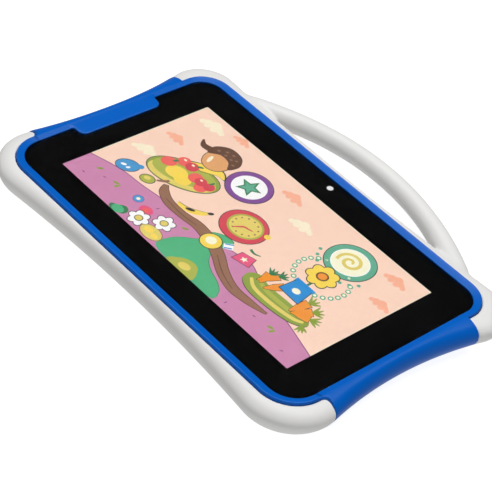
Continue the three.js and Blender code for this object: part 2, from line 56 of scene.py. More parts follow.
WAIST_X = 102.0  # half the length, at the middle of the end sides
END_SIDE_X = 90.0  # outline points further out than this belong to an end side
END_BOW = (5.0, 45.0)  # depth of an end side's bow, over its half length
UPPER = {"waist": 69.0, "bow": (3.0, 85.0), "corner_r": 17.5, "grip": 45.0}
LOWER = {"waist": 66.9, "bow": (4.6, 85.0), "corner_r": 24.8, "grip": 42.0}
WIDEST_Z = 9.3  # height of the outline's widest line
BACK_ROUND = 10.5  # how far in from it the flat back starts
FRONT_Z = 14.4  # where the bumpers' skin meets the core's wall
CORE = (98.3, 63.5, 14.5, 17.5)  # half sizes, then the upper and the lower corners' radii
POCKET = (96.4, 60.8, 12.5, 15.0)
LIP = (95.0, 59.2, 11.0, 13.5)
POCKET_CHAMFER = 3.5
CASE_FLOOR = 4.0
LIP_UNDER = 14.15  # underside of the lip over the glass
RIM_TOP = 15.5
CREST_IN = 0.7  # how far the rim's crest lies inside the core's wall
FLANGE_Y = 54.0  # the white band along the back edge
FLANGE_THICK = 2.6
GLASS_TOP = 14.0

HANDLE = {
    "mid_r": 5.2,
    "foot_r": 6.3,
    "arc_r": 137.0,
    "apex_y": 88.7,
    "apex_z": 9.8,
    "foot_x": 76.0,
    "foot_z": 7.5,
}

BUMPER_SCREW_X = (-80.0, -28.0, 28.0, 80.0)
BUMPER_SCREW_Y = 57.5
SCREW_SEAT = {"r": 2.05, "deep": 1.6}
SPEAKER_X = (-28.0, 38.0)
GRILLE = {"y": -48.1, "pitch": 3.4, "half_width": 0.8, "half_length": 4.3}
REAR_CAMERA = (-72.0, 46.5)
REAR_HOLE_R = 7.0
FRONT_CAMERA = (0.0, 54.6)
# A socket's window in the left wall: its middle's Y and Z, its half sizes and its corners' radius.
USB_WINDOW = (-33.5, 8.95, 5.6, 2.75, 2.7)
JACK_WINDOW = (-20.0, 8.9, 3.9, 3.9, 3.89)
CARD_WINDOW = (-7.0, 8.8, 6.2, 2.4, 1.6)
KEY_Z = 9.5
POWER_KEY = {"y": 35.5, "length": 8.6, "nubs": (0,)}
VOLUME_KEY = {"y": 16.0, "length": 21.6, "nubs": (-7, 7)}
KEY_HEIGHT = 4.2
SCREEN = (77.1, 44.3)  # half sizes of the lit picture


# ---- Mesh helpers ----

def new_object(name, mesh):
    obj = bpy.data.objects.new(name, mesh)
    bpy.context.scene.collection.objects.link(obj)
    return obj


# Edges sharper than these angles stay sharp.
SHARP_DEGREES = 32
BUMPER_SHARP = 40
JOINT_SHARP = 50
HANDLE_SHARP = 60


def smooth(mesh, sharp_degrees=SHARP_DEGREES):
    """Shades the mesh smooth, apart from edges sharper than the given angle."""
    for polygon in mesh.polygons:
        polygon.use_smooth = True
    mesh.set_sharp_from_angle(angle=math.radians(sharp_degrees))


def edited(mesh, change):
    """Changes a mesh's geometry."""
    bm = bmesh.new()
    bm.from_mesh(mesh)
    change(bm)
    bm.to_mesh(mesh)
    bm.free()


FACING_DOWN = -0.9999  # a normal's Z on the flat back


def part_back(mesh):
    """Keeps the flat back's shading apart from the rounded skin around it."""
    seen = {}
    for polygon in mesh.polygons:
        if polygon.normal.z < FACING_DOWN:
            for key in polygon.edge_keys:
                seen[key] = seen.get(key, 0) + 1
    for edge in mesh.edges:
        if seen.get(tuple(sorted(edge.vertices))) == 1:
            edge.use_edge_sharp = True


SAME_POINT = 2e-7  # metres


def add_mesh(name, points, faces, sharp_degrees=SHARP_DEGREES):
    """An object from points in millimetres, with its faces turned outwards."""
    def clean(bm):
        bmesh.ops.remove_doubles(bm, verts=bm.verts, dist=SAME_POINT)
        bmesh.ops.recalc_face_normals(bm, faces=bm.faces)

    mesh = bpy.data.meshes.new(name)
    mesh.from_pydata((np.asarray(points, float) * MM).tolist(), [], faces)
    edited(mesh, clean)
    smooth(mesh, sharp_degrees)
    return new_object(name, mesh)


def grid_faces(rows, columns, closed_rows=True, closed_columns=False):
    """Quads over a grid of points stored row by row."""
    faces = []
    for i in range(rows if closed_rows else rows - 1):
        for j in range(columns if closed_columns else columns - 1):
            a, b = i * columns + j, i * columns + (j + 1) % columns
            c, d = ((i + 1) % rows) * columns + (j + 1) % columns, ((i + 1) % rows) * columns + j
            faces.append((a, b, c, d))
    return faces


def loft(name, rings, sharp_degrees=SHARP_DEGREES):
    """A closed solid through rings with equal numbers of points."""
    count = len(rings[0])
    faces = grid_faces(len(rings), count, closed_rows=False, closed_columns=True)
    faces.append(tuple(range(count)))
    faces.append(tuple(range((len(rings) - 1) * count, len(rings) * count)))
    return add_mesh(name, np.concatenate(rings), faces, sharp_degrees)


def applied(obj):
    """Replaces the object's mesh by what its modifiers make of it."""
    evaluated = obj.evaluated_get(bpy.context.evaluated_depsgraph_get())
    mesh = bpy.data.meshes.new_from_object(evaluated)
    obj.modifiers.clear()
    obj.data = mesh
    return obj


def triangulate(bm):
    """Splits faces of more than four corners, which a cut leaves large and ragged."""
    ragged = [face for face in bm.faces if len(face.verts) > 4]
    bmesh.ops.triangulate(bm, faces=ragged, ngon_method="BEAUTY")


def boolean(obj, others, operation="DIFFERENCE"):
    """Cuts or joins the other solids, one after another, and removes them."""
    for other in others:
        modifier = obj.modifiers.new("cut", "BOOLEAN")
        modifier.operation = operation
        modifier.solver = "MANIFOLD"
        modifier.object = other
    applied(obj)
    for other in others:
        bpy.data.objects.remove(other)
    edited(obj.data, triangulate)
    smooth(obj.data)
    return obj


def joined(objects):
    """Several separate closed solids as one object."""
    def gather(bm):
        for obj in objects:
            bm.from_mesh(obj.data)

    mesh = bpy.data.meshes.new("joined")
    edited(mesh, gather)
    for obj in objects:
        bpy.data.objects.remove(obj)
    return new_object("joined", mesh)


def rounded_outline(half_x, half_y, r, steps=8):
    """A rectangle with round corners, counter-clockwise, as points in a plane."""
    points = []
    for i, (sx, sy) in enumerate([(1, 1), (-1, 1), (-1, -1), (1, -1)]):
        cx, cy = sx * (half_x - r), sy * (half_y - r)
        for angle in np.linspace(i, i + 1, steps + 1) * math.pi / 2:
            points.append((cx + r * math.cos(angle), cy + r * math.sin(angle)))
    return np.array(points)


def in_plane(outline, axis, depth, centre=(0, 0)):
    """Points of a flat outline put at a depth along X or Z, round a centre."""
    a, b = outline[:, 0] + centre[0], outline[:, 1] + centre[1]
    fill = np.full(len(outline), float(depth))
    return np.stack([fill, a, b] if axis == "x" else [a, b, fill], 1)


def flared_cutter(half_x, half_y, r, axis, centre, depths):
    """A hole's solid: its outline widened at each depth, as a list of (depth, widening)."""
    rings = []
    for depth, grow in depths:
        outline = rounded_outline(half_x + grow, half_y + grow, r + grow)
        rings.append(in_plane(outline, axis, depth, centre))
    return loft("cutter", rings)


# ---- The case's outline, as stations round it ----

def arc_points(cx, cy, r, angles):
    return np.stack([cx + r * np.cos(angles), cy + r * np.sin(angles)], 1)


def corner_centre(end_x, end_r, long_y, long_r):
    """The point at end_r from (end_x, 0) and long_r from (0, long_y), on the origin's side."""
    gap = math.hypot(end_x, long_y)
    along = (end_r ** 2 - long_r ** 2 + gap ** 2) / (2 * gap)
    off = math.sqrt(end_r ** 2 - along ** 2)
    ux, uy = -end_x / gap, long_y / gap
    return end_x + along * ux - off * uy, along * uy + off * ux


def bow_radius(depth, half_length):
    return (half_length ** 2 + depth ** 2) / (2 * depth)


# Stations in a quarter of the outline: beside the grip, on the rest of the end side, round the
# corner and along the long side.
STATIONS = {"grip": 56, "end": 8, "corner": 30, "long": 48}


def spaced(start, stop, count):
    """Evenly spaced values from the start to one short of the stop."""
    return np.linspace(start, stop, count + 1)[:-1]


def quarter(half):
    """A quarter of the waisted outline, from an end's middle to short of a long side's middle."""
    end_r = bow_radius(*END_BOW)
    long_r = bow_radius(*half["bow"])
    end_x, long_y = WAIST_X + end_r, half["waist"] + long_r
    r = half["corner_r"]
    cx, cy = corner_centre(end_x, end_r + r, long_y, long_r + r)
    end_turn = math.atan2(cy, end_x - cx)
    long_turn = math.atan2(cx, long_y - cy)
    grip_turn = math.asin(half["grip"] / end_r)
    end_angles = np.concatenate([
        spaced(0, grip_turn, STATIONS["grip"]),
        spaced(grip_turn, end_turn, STATIONS["end"]),
    ])
    corner_angles = spaced(-end_turn, math.pi / 2 + long_turn, STATIONS["corner"])
    long_angles = spaced(long_turn - math.pi / 2, -math.pi / 2, STATIONS["long"])
    return np.concatenate([
        arc_points(end_x, 0, end_r, math.pi - end_angles),
        arc_points(cx, cy, r, corner_angles),
        arc_points(0, long_y, long_r, long_angles),
    ])


def nearest_on(rect, points):
    """The points of a rounded rectangle's outline nearest to the given ones."""
    half_x, half_y, upper_r, lower_r = rect
    r = np.where(points[:, 1] > 0, upper_r, lower_r)
    reach = np.stack([half_x - r, half_y - r], 1)
    centre = np.clip(points, -reach, reach)
    out = points - centre
    return centre + out * (r / np.linalg.norm(out, axis=1))[:, None]


def outline_loop():
    """The widest outline, counter-clockwise from the right end's middle."""
    upper, lower = quarter(UPPER), quarter(LOWER)

    def backwards(points, waist):
        return np.concatenate([[[0.0, waist]], points[:0:-1]])

    return np.concatenate([
        upper,
        backwards(upper, UPPER["waist"]) * [-1, 1],
        lower * [-1, -1],
        backwards(lower, LOWER["waist"]) * [1, -1],
    ])


WIDEST = outline_loop()
FOOT = nearest_on(CORE, WIDEST)  # each station's nearest point on the core
REACH = np.linalg.norm(WIDEST - FOOT, axis=1)
OUTWARD = (WIDEST - FOOT) / REACH[:, None]
ON_END = np.abs(WIDEST[:, 0]) > END_SIDE_X
PAST_GRIP = np.abs(WIDEST[:, 1]) - np.where(WIDEST[:, 1] > 0, UPPER["grip"], LOWER["grip"])
GRIP_EDGE = ON_END & (np.abs(PAST_GRIP) < 1e-6)
IN_GRIP = ON_END & (PAST_GRIP < 1e-6)


def lower_z(reach, s):
    """Height of the underside at distance s outside the core, with the widest line at reach."""
    rise = 1 - (reach - s) / BACK_ROUND
    return WIDEST_Z * (1 - math.sqrt(max(0.0, 1 - max(0.0, rise) ** 2)))


def lower_curve(reach, s_end, count):
    """Section points from the widest line down to s_end, as (s, z)."""
    last = math.asin(max(0.0, 1 - (reach - s_end) / BACK_ROUND))
    angles = np.linspace(math.pi / 2, last, count)
    return np.stack([reach - BACK_ROUND * (1 - np.sin(angles)), WIDEST_Z * (1 - np.cos(angles))], 1)


END_ROUND = 3.0  # the lower bumper's ends are rounded off beside the rim


def end_shift(s):
    """How far a rounded end stands back at distance s from the rim."""
    s = np.clip(s, 0, END_ROUND)
    return END_ROUND - np.sqrt(END_ROUND ** 2 - (END_ROUND - s) ** 2)


# ---- The blue case ----

# The lip's profile, as distances from its edge and heights.
LIP_PROFILE = ((0.0, 14.45), (0.09, 14.67), (0.30, 14.82), (0.62, 14.87))
SLOPE_STEPS = 5
# The bead along the rim, as distances inside the core's wall and heights.
BEAD_IN = ((1.25, 15.33), (1.0, 15.44), (CREST_IN, RIM_TOP))
BEAD_OUT = ((0.38, 15.43), (0.13, 15.22), (0.0, 14.9))
WALL_TOP = 14.2
OUTER_STEPS = 18
UNDER_STEPS = 16
GRIP_BLEND = (2.5, 0.2)  # over this length at its ends, a grip stands back by up to this much
SHIFT_FADE = (12.0, 4.0)  # where the case follows the lower bumper's ends, on either side

# The tab, where the lip widens over the bezel on the left.
TAB_X = 88.2
TAB_HALF = 18.5
TAB_START = 27.5  # how far from the middle the lip's edge starts to turn
TAB_INNER = (25.6, 1.3)  # the two rounds between the lip and the tab: their Y and radius
TAB_OUTER = (20.6, 3.6)


def tab_path():
    """The lip's edge from where it leaves its line to the tab's straight edge."""
    inner_y, inner_r = TAB_INNER
    outer_y, outer_r = TAB_OUTER
    path = [(LIP[0], TAB_START), (LIP[0], inner_y)]
    for a in np.linspace(0.3, 1.4, 4):
        path.append((LIP[0] - inner_r + inner_r * math.cos(a), inner_y - inner_r * math.sin(a)))
    for a in np.linspace(0.15, 1.5, 7):
        path.append((TAB_X + outer_r - outer_r * math.sin(a), outer_y + outer_r * math.cos(a)))
    path += [(TAB_X, outer_y - GAP), (TAB_X, TAB_HALF)]
    return np.array(path)


def tab_edge(y):
    """The lip's edge beside the left end at a foot's Y, or None where the lip isn't widened."""
    if abs(y) >= TAB_START:
        return None
    if abs(y) <= TAB_HALF:
        return np.array([-TAB_X, y])
    t = (TAB_START - abs(y)) / (TAB_START - TAB_HALF)
    path = tab_path()
    along = np.concatenate([[0], np.cumsum(np.linalg.norm(np.diff(path, axis=0), axis=1))])
    x = np.interp(t * along[-1], along, path[:, 0])
    y_edge = np.interp(t * along[-1], along, path[:, 1])
    return np.array([-x, math.copysign(y_edge, y)])


def at(base, direction, profile):
    """Points at the profile's distances from a base along a direction, at its heights."""
    return [(*(base + direction * d), z) for d, z in profile]


def rim_profile(width):
    """The lip, the slope behind it and the bead's inner side, as distances from the lip's edge."""
    first, last = LIP_PROFILE[-1], BEAD_IN[0]
    profile = list(LIP_PROFILE)
    for k in range(1, SLOPE_STEPS):
        f = k / SLOPE_STEPS
        d = first[0] + (width - last[0] - first[0]) * f
        profile.append((d, first[1] + (last[1] - first[1]) * f))
    return profile


def grip_profile(i):
    """A grip's skin from the rim's crest to the flat back, as distances from the core's wall."""
    reach = REACH[i]
    length, back = GRIP_BLEND
    edge = min(1.0, -PAST_GRIP[i] / length)
    span = reach - back * (1 - edge) ** 2 + CREST_IN
    profile = []
    for a in np.linspace(0, math.pi / 2, OUTER_STEPS + 1)[1:]:
        z = WIDEST_Z + (RIM_TOP - WIDEST_Z) * math.cos(a)
        profile.append((span * math.sin(a) - CREST_IN, z))
    return profile + list(lower_curve(reach, reach - BACK_ROUND, UNDER_STEPS + 1)[1:])


def wall_profile(i):
    """The core's wall behind a bumper, from the rim's bead to the flat back."""
    reach = REACH[i]
    bottom = lower_z(reach, 0.0)
    profile = [(-d, z) for d, z in BEAD_OUT]
    profile += [(0.0, z) for z in np.linspace(WALL_TOP, bottom + GAP, OUTER_STEPS - len(BEAD_OUT))]
    inside = min(-0.5, reach - BACK_ROUND)
    return profile + [(s, lower_z(reach, s)) for s in np.linspace(0, inside, UNDER_STEPS)]


def case_row(i, grip, lip, pocket):
    """One station's points on the case, from the pocket's floor over the rim to the flat back."""
    foot, out = FOOT[i], OUTWARD[i]
    width = np.linalg.norm(foot - lip)
    row = at(pocket, out, [(-POCKET_CHAMFER, CASE_FLOOR), (0.0, CASE_FLOOR + POCKET_CHAMFER)])
    row += [(*pocket, LIP_UNDER), (*lip, LIP_UNDER)]
    row += at(lip, (foot - lip) / width, rim_profile(width))
    row += at(foot, out, [(-d, z) for d, z in BEAD_IN])
    row += at(foot, out, grip_profile(i) if grip else wall_profile(i))
    return np.array(row)


def shift_case_row(row, i, grip):
    """Follows the lower bumper's rounded ends: moves a row along the end side."""
    if WIDEST[i, 1] > 0 or not ON_END[i]:
        return row
    past = PAST_GRIP[i]
    fade = 1 + past / SHIFT_FADE[0] if past <= 0 else 1 - past / SHIFT_FADE[1]
    if fade <= 0:
        return row
    s = (row[:, :2] - FOOT[i]) @ OUTWARD[i] if grip else np.zeros(len(row))
    row[:, 1] -= end_shift(s) * fade
    return row


def case_blank():
    rows = []
    count = len(WIDEST)
    pocket = nearest_on(POCKET, FOOT)
    lips = nearest_on(LIP, FOOT)
    for i in range(count):
        lip = lips[i]
        if FOOT[i, 0] < 0:
            edge = tab_edge(FOOT[i, 1])
            lip = lip if edge is None else edge
        kinds = [bool(IN_GRIP[i])]
        if GRIP_EDGE[i]:
            kinds = [True, False] if IN_GRIP[i - 1] else [False, True]
        for grip in kinds:
            rows.append(shift_case_row(case_row(i, grip, lip, pocket[i]), i, grip))
    columns = len(rows[0])
    faces = grid_faces(len(rows), columns)
    faces.append(tuple(k * columns for k in range(len(rows))))
    faces.append(tuple(k * columns + columns - 1 for k in range(len(rows))))
    return add_mesh("inner_case_shell", np.concatenate(rows), faces)


def back_cutter(x, y, half_x, half_y, high):
    """A round-ended hole from the flat back up to a height, with its edge eased."""
    depths = [(BELOW_Z, 1.0), (0.0, 0.4), (0.12, 0.14), (0.4, 0.0), (high, 0.0)]
    return flared_cutter(half_x, half_y, min(half_x, half_y) - 0.01, "z", (x, y), depths)


def surface_x(y, z):
    """How far out the left end's surface lies at a height, as a positive X."""
    bow_r = bow_radius(*END_BOW)
    reach = WAIST_X + bow_r - math.sqrt(bow_r ** 2 - y ** 2) - CORE[0]
    if z >= WIDEST_Z:
        rise = (z - WIDEST_Z) / (RIM_TOP - WIDEST_Z)
        return CORE[0] + (reach + CREST_IN) * math.sqrt(max(0.0, 1 - rise ** 2)) - CREST_IN
    fall = 1 - z / WIDEST_Z
    return CORE[0] + reach - BACK_ROUND * (1 - math.sqrt(max(0.0, 1 - fall ** 2)))


LEFT_POCKET_X = -94.0  # inside the pocket, past the left wall


def window_cutter(y, z, half_y, half_z, r):
    """A hole through the left wall whose mouth follows the case's surface."""
    rings = []
    for below, grow in ((-3.0, 1.2), (0.0, 0.5), (0.15, 0.2), (0.5, 0.0)):
        outline = rounded_outline(half_y + grow, half_z + grow, r + grow)
        rings.append([(-surface_x(y + a, z + b) + below, y + a, z + b) for a, b in outline])
    outline = rounded_outline(half_y, half_z, r)
    rings.append([(LEFT_POCKET_X, y + a, z + b) for a, b in outline])
    return loft("window", [np.array(ring) for ring in rings])


def flange_cutter(side):
    """The step along the case's back edge that the bumper's band lies in."""
    y0, top = FLANGE_Y - GAP, FLANGE_THICK + GAP
    profile = [(y0 - 0.35, BELOW_Z), (y0 - 0.35, 0), (y0 - 0.1, 0.1), (y0, 0.35)]
    profile += [(y0, top), (WHOLE_Y, top), (WHOLE_Y, BELOW_Z)]
    rings = [np.array([(x, side * y, z) for y, z in profile]) for x in (-WHOLE_X, WHOLE_X)]
    return loft("band", rings)


def grille_cutters():
    cutters = []
    for centre in SPEAKER_X:
        for k in range(-2, 3):
            x = centre + GRILLE["pitch"] * k
            half_x, half_y = GRILLE["half_width"], GRILLE["half_length"]
            cutters.append(back_cutter(x, GRILLE["y"], half_x, half_y, CASE_FLOOR + 1))
    return cutters


KEY_CLEAR = 0.25  # between a key's cap and its window
KEY_POCKET = (-98.3, 1.6, 1.1)  # its outer X, and how far it reaches past the cap along Y and Z


def key_cutters(key):
    """A key's window and the pocket behind it for the key's pad."""
    half_y, half_z = key["length"] / 2, KEY_HEIGHT / 2
    outer_x, grow_y, grow_z = KEY_POCKET
    pad_y, pad_z = half_y + grow_y, half_z + grow_z
    low = (outer_x, key["y"] - pad_y, KEY_Z - pad_z)
    high = (LEFT_POCKET_X, key["y"] + pad_y, KEY_Z + pad_z)
    window = window_cutter(key["y"], KEY_Z, half_y + KEY_CLEAR, half_z + KEY_CLEAR, KEY_HEIGHT / 2)
    return [window, block(low, high)]


def inner_case():
    case = case_blank()
    cutters = [flange_cutter(1), flange_cutter(-1), *grille_cutters()]
    cutters.append(back_cutter(*REAR_CAMERA, REAR_HOLE_R, REAR_HOLE_R, CASE_FLOOR + 1))
    cutters += [cutter for key in (POWER_KEY, VOLUME_KEY) for cutter in key_cutters(key)]
    cutters += [window_cutter(*window) for window in (USB_WINDOW, JACK_WINDOW, CARD_WINDOW)]
    boolean(case, cutters)
    part_back(case.data)
    return case


# ---- The white bumpers ----

# The round along a bumper's top edge, as distances from the gap and heights.
BUMPER_TOP_ROUND = ((0.0, 13.3), (0.03, 13.75), (0.16, 14.12), (0.42, 14.31))
TOP_ARC_START = 0.8  # how far outside the gap the arc to the widest line starts
TOP_ARC_POINTS = 15
CHAIN = 44  # points along a bumper's outer skin
BACK_EASE = (0.3, 0.02)  # rounding of the edge on the back, along the band and elsewhere
EASE_PROFILE = ((2.0, 0.0), (1.0, 0.0), (0.2, 0.3), (0.0, 1.0))  # that rounding's points
LEDGE_FRACTIONS = (0.25, 0.5, 0.75, 0.9, 0.97, 1.0)
EASE = 0.55  # radius of the bumpers' end edges
THIN = 3.0  # a section thinner than this is eased less


def band_edge(i):
    """Where a bumper's skin ends on the back, outside the core's wall or, along the band, inside."""
    past, out = abs(FOOT[i, 1]) - FLANGE_Y, abs(OUTWARD[i, 1])
    return min(GAP, -past / out) if past > 0 and out > 0.1 else GAP


def bumper_chains(i):
    """One station's outer and inner chains on a bumper, as (s, z) from its top to its bottom."""
    reach, inside = REACH[i], band_edge(i)
    outer = [(GAP + d, z) for d, z in BUMPER_TOP_ROUND]
    start = math.asin(min(0.95, (GAP + TOP_ARC_START) / reach))
    for a in np.linspace(start, math.pi / 2, TOP_ARC_POINTS):
        outer.append((reach * math.sin(a), WIDEST_Z + (FRONT_Z - WIDEST_Z) * math.cos(a)))
    count = CHAIN + 1 - len(outer) - len(EASE_PROFILE)
    outer += [tuple(p) for p in lower_curve(reach, max(inside, reach - BACK_ROUND), count)[1:]]
    bottom = outer[-1][1]
    ease = BACK_EASE[0] if inside < GAP - 1 else BACK_EASE[1]
    outer += [(inside + ease * d, bottom + ease * rise) for d, rise in EASE_PROFILE]
    ledge = max(FLANGE_THICK, bottom + ease + 0.1)
    wall = np.linspace(BUMPER_TOP_ROUND[0][1] - 0.1, ledge, len(outer) - len(LEDGE_FRACTIONS))
    inner = [(GAP, z) for z in wall]
    inner += [(GAP + (inside - GAP) * f, ledge) for f in LEDGE_FRACTIONS]
    return np.array(outer), np.array(inner)


def eased(outer, inner, amount):
    """The outer chain moved inwards by an amount, less where the section is thin."""
    step = np.gradient(outer, axis=0)
    normal = np.stack([step[:, 1], -step[:, 0]], 1)
    normal /= np.linalg.norm(normal, axis=1)[:, None] + 1e-9
    thick = np.linalg.norm(outer - inner, axis=1)
    return outer + normal * (amount * np.minimum(1, thick / THIN))[:, None]


def end_roundings(first):
    """Steps round an end's edge, as (distance along the bumper, inset), in the order of the rows."""
    angles = np.linspace(0, math.pi / 2, 5)
    roundings = [(EASE * (1 - math.sin(a)), EASE * (1 - math.cos(a))) for a in angles]
    return roundings[::-1] if first else roundings


def bumper_rows(side):
    """Rows of points across a bumper, from end to end."""
    half = UPPER if side > 0 else LOWER
    on_side = [i for i in range(len(WIDEST)) if WIDEST[i, 1] * side > 0]
    keep = [i for i in on_side if not IN_GRIP[i] or GRIP_EDGE[i]]
    keep.sort(key=lambda i: math.atan2(WIDEST[i, 0] * side, WIDEST[i, 1] * side))
    rows = []
    for i in keep:
        outer, inner = bumper_chains(i)
        at_end = i in (keep[0], keep[-1])
        for along, inset in end_roundings(i == keep[0]) if at_end else [(0.0, 0.0)]:
            chain = np.concatenate([eased(outer, inner, inset), inner[::-1]])
            points = FOOT[i] + OUTWARD[i] * chain[:, :1]
            if at_end:
                points[:, 1] = side * (half["grip"] + GAP + along)
            if side < 0 and ON_END[i]:
                fade = max(0.0, 1 - PAST_GRIP[i] / SHIFT_FADE[1])
                points[:, 1] += side * end_shift(chain[:, 0] - GAP) * fade
            rows.append(np.concatenate([points, chain[:, 1:]], 1))
    return rows


def bumper_blank(name, side):
    rows = bumper_rows(side)
    count = len(rows[0])
    faces = grid_faces(len(rows), count, closed_rows=False, closed_columns=True)
    for first in (0, (len(rows) - 1) * count):
        for j in range(count // 2 - 1):
            faces.append((first + j, first + j + 1, first + count - 2 - j, first + count - 1 - j))
    return add_mesh(name, np.concatenate(rows), faces, BUMPER_SHARP)


def screw_seats(side):
    r, deep = SCREW_SEAT["r"], SCREW_SEAT["deep"]
    return [back_cutter(x, side * BUMPER_SCREW_Y, r, r, deep) for x in BUMPER_SCREW_X]


HANDLE_RINGS = 121
HANDLE_SIDES = 40


def handle_point(t):
    """The middle of the handle's bar, for t from 0 at the left foot to 1 at the right."""
    x = HANDLE["foot_x"] * (2 * t - 1)
    y = HANDLE["apex_y"] - HANDLE["arc_r"] + math.sqrt(HANDLE["arc_r"] ** 2 - x ** 2)
    z = HANDLE["apex_z"] - (HANDLE["apex_z"] - HANDLE["foot_z"]) * (x / HANDLE["foot_x"]) ** 2
    return np.array([x, y, z])


def handle_bar():
    angles = spaced(0, 2 * math.pi, HANDLE_SIDES)
    rings = []
    for t in np.linspace(0, 1, HANDLE_RINGS):
        r = HANDLE["mid_r"] + (HANDLE["foot_r"] - HANDLE["mid_r"]) * (2 * t - 1) ** 4
        ahead = handle_point(min(1, t + 0.01)) - handle_point(max(0, t - 0.01))
        across = np.cross([0, 0, 1.0], ahead)
        across /= np.linalg.norm(across)
        ring = np.outer(np.cos(angles), across) + np.outer(np.sin(angles), [0, 0, 1])
        rings.append(handle_point(t) + r * ring)
    return loft("handle_bar", rings, HANDLE_SHARP)


def core_block(grow, low, high):
    outline = nearest_on(tuple(v + grow for v in CORE), FOOT)
    return loft("core", [in_plane(outline, "z", z) for z in (low, high)])


VOXEL = 0.5  # size of the remesh's cells
BLEND_REACH = 3.2  # how near both surfaces a point is, for the joint's fillet to take it
BLEND_ROUNDS = 40
BLEND_STEP = 0.6
WALL_CLEAR = (0.5, 3.5)  # the fillet sets in over these distances from the core's wall


def surface_tree(obj):
    corners = [vertex.co for vertex in obj.data.vertices]
    return BVHTree.FromPolygons(corners, [polygon.vertices for polygon in obj.data.polygons])


def remeshed(body):
    remesh = body.modifiers.new("skin", "REMESH")
    remesh.mode = "VOXEL"
    remesh.voxel_size = VOXEL * MM
    applied(body)


def wrapped(body, exact, trees):
    """Puts the skin back on the exact surface, apart from the fillet."""
    group = body.vertex_groups.new(name="exact")
    for index, weight in enumerate(joint_weights(body.data, trees)):
        group.add([index], float(1 - weight), "REPLACE")
    wrap = body.modifiers.new("wrap", "SHRINKWRAP")
    wrap.target = exact
    wrap.vertex_group = "exact"
    applied(body)


def upper_bumper():
    """The bumper and the handle as one skin: remeshed, filleted where they meet, and put back
    on the exact surfaces everywhere else."""
    body = bumper_blank("upper_bumper", 1)
    bar = boolean(handle_bar(), [core_block(GAP, *WHOLE_Z)])
    trees = [surface_tree(body), surface_tree(bar)]
    boolean(body, [bar], "UNION")
    exact = new_object("exact", body.data.copy())
    remeshed(body)
    fillet(body.data, trees)
    wrapped(body, exact, trees)
    bpy.data.objects.remove(exact)
    boolean(body, screw_seats(1))
    smooth(body.data, JOINT_SHARP)
    part_back(body.data)
    return body


def joint_weights(mesh, trees):
    """1 where both surfaces are near, fading to 0 at the fillet's reach and at the core's wall."""
    weights = np.zeros(len(mesh.vertices))
    start, end = WALL_CLEAR
    for index, vertex in enumerate(mesh.vertices):
        clear = (vertex.co.y / MM - CORE[1] - start) / (end - start)
        if clear <= 0:
            continue
        far = max(tree.find_nearest(vertex.co)[3] for tree in trees) / MM
        if far < BLEND_REACH:
            weights[index] = min(1.0, clear, 2 * (1 - far / BLEND_REACH))
    return weights


def fillet(mesh, trees):
    """Smooths the mesh where the handle meets the bumper."""
    weights = joint_weights(mesh, trees)
    count = len(mesh.vertices)
    points = np.zeros(count * 3)
    mesh.vertices.foreach_get("co", points)
    points = points.reshape(-1, 3)
    edges = np.zeros(len(mesh.edges) * 2, int)
    mesh.edges.foreach_get("vertices", edges)
    a, b = edges.reshape(-1, 2).T
    degree = np.bincount(a, minlength=count) + np.bincount(b, minlength=count)
    for _ in range(BLEND_ROUNDS):
        total = np.zeros_like(points)
        np.add.at(total, a, points[b])
        np.add.at(total, b, points[a])
        points += (total / degree[:, None] - points) * (BLEND_STEP * weights)[:, None]
    mesh.vertices.foreach_set("co", points.ravel())
    mesh.update()


def lower_bumper():
    body = bumper_blank("lower_bumper_skin", -1)
    boolean(body, screw_seats(-1))
    smooth(body.data, BUMPER_SHARP)
    part_back(body.data)
    return body


# ---- The keys, the screws and the glass ----

KEY_CORNER = 1.9
KEY_RECESS = 0.4  # how far the keys' faces lie below the case's surface
KEY_PAD_X = (-97.7, -96.7)
KEY_PAD_GROW = (1.0, 0.8)  # how far the pad reaches past the cap, along Y and Z
NUB_TIP_X = -93.6
NUB_R = 1.0
# The crown of a key's face, as depths below it and insets from its edge.
KEY_CROWN = ((0.0, 1.8), (0.0, 1.2), (0.01, 0.75), (0.07, 0.4), (0.2, 0.12), (0.45, 0.0))


def block(low, high):
    (x0, y0, z0), (x1, y1, z1) = low, high
    rings = [np.array([(x, y0, z0), (x, y1, z0), (x, y1, z1), (x, y0, z1)]) for x in (x0, x1)]
    return loft("block", rings)


def circle(r):
    return rounded_outline(r, r, r - 0.001)


def side_key(name, key):
    """A key's crowned cap, its pad and the nubs that reach its switches, as one solid."""
    y, half_y, half_z = key["y"], key["length"] / 2, KEY_HEIGHT / 2
    pad_middle = sum(KEY_PAD_X) / 2
    rings = []
    for below, inset in KEY_CROWN:
        outline = rounded_outline(half_y - inset, half_z - inset, KEY_CORNER - inset)
        depth = KEY_RECESS + below
        rings.append([(depth - surface_x(y + a, KEY_Z + b), y + a, KEY_Z + b) for a, b in outline])
    outline = rounded_outline(half_y, half_z, KEY_CORNER)
    rings.append(in_plane(outline, "x", pad_middle, (y, KEY_Z)))
    body = loft(name, [np.array(ring) for ring in rings])
    pad_y, pad_z = half_y + KEY_PAD_GROW[0], half_z + KEY_PAD_GROW[1]
    low = (KEY_PAD_X[0], y - pad_y, KEY_Z - pad_z)
    high = (KEY_PAD_X[1], y + pad_y, KEY_Z + pad_z)
    parts = [block(low, high)]
    for nub in key["nubs"]:
        rings = [in_plane(circle(NUB_R), "x", x, (y + nub, KEY_Z)) for x in (pad_middle, NUB_TIP_X)]
        parts.append(loft("nub", rings))
    return boolean(body, parts, "UNION")


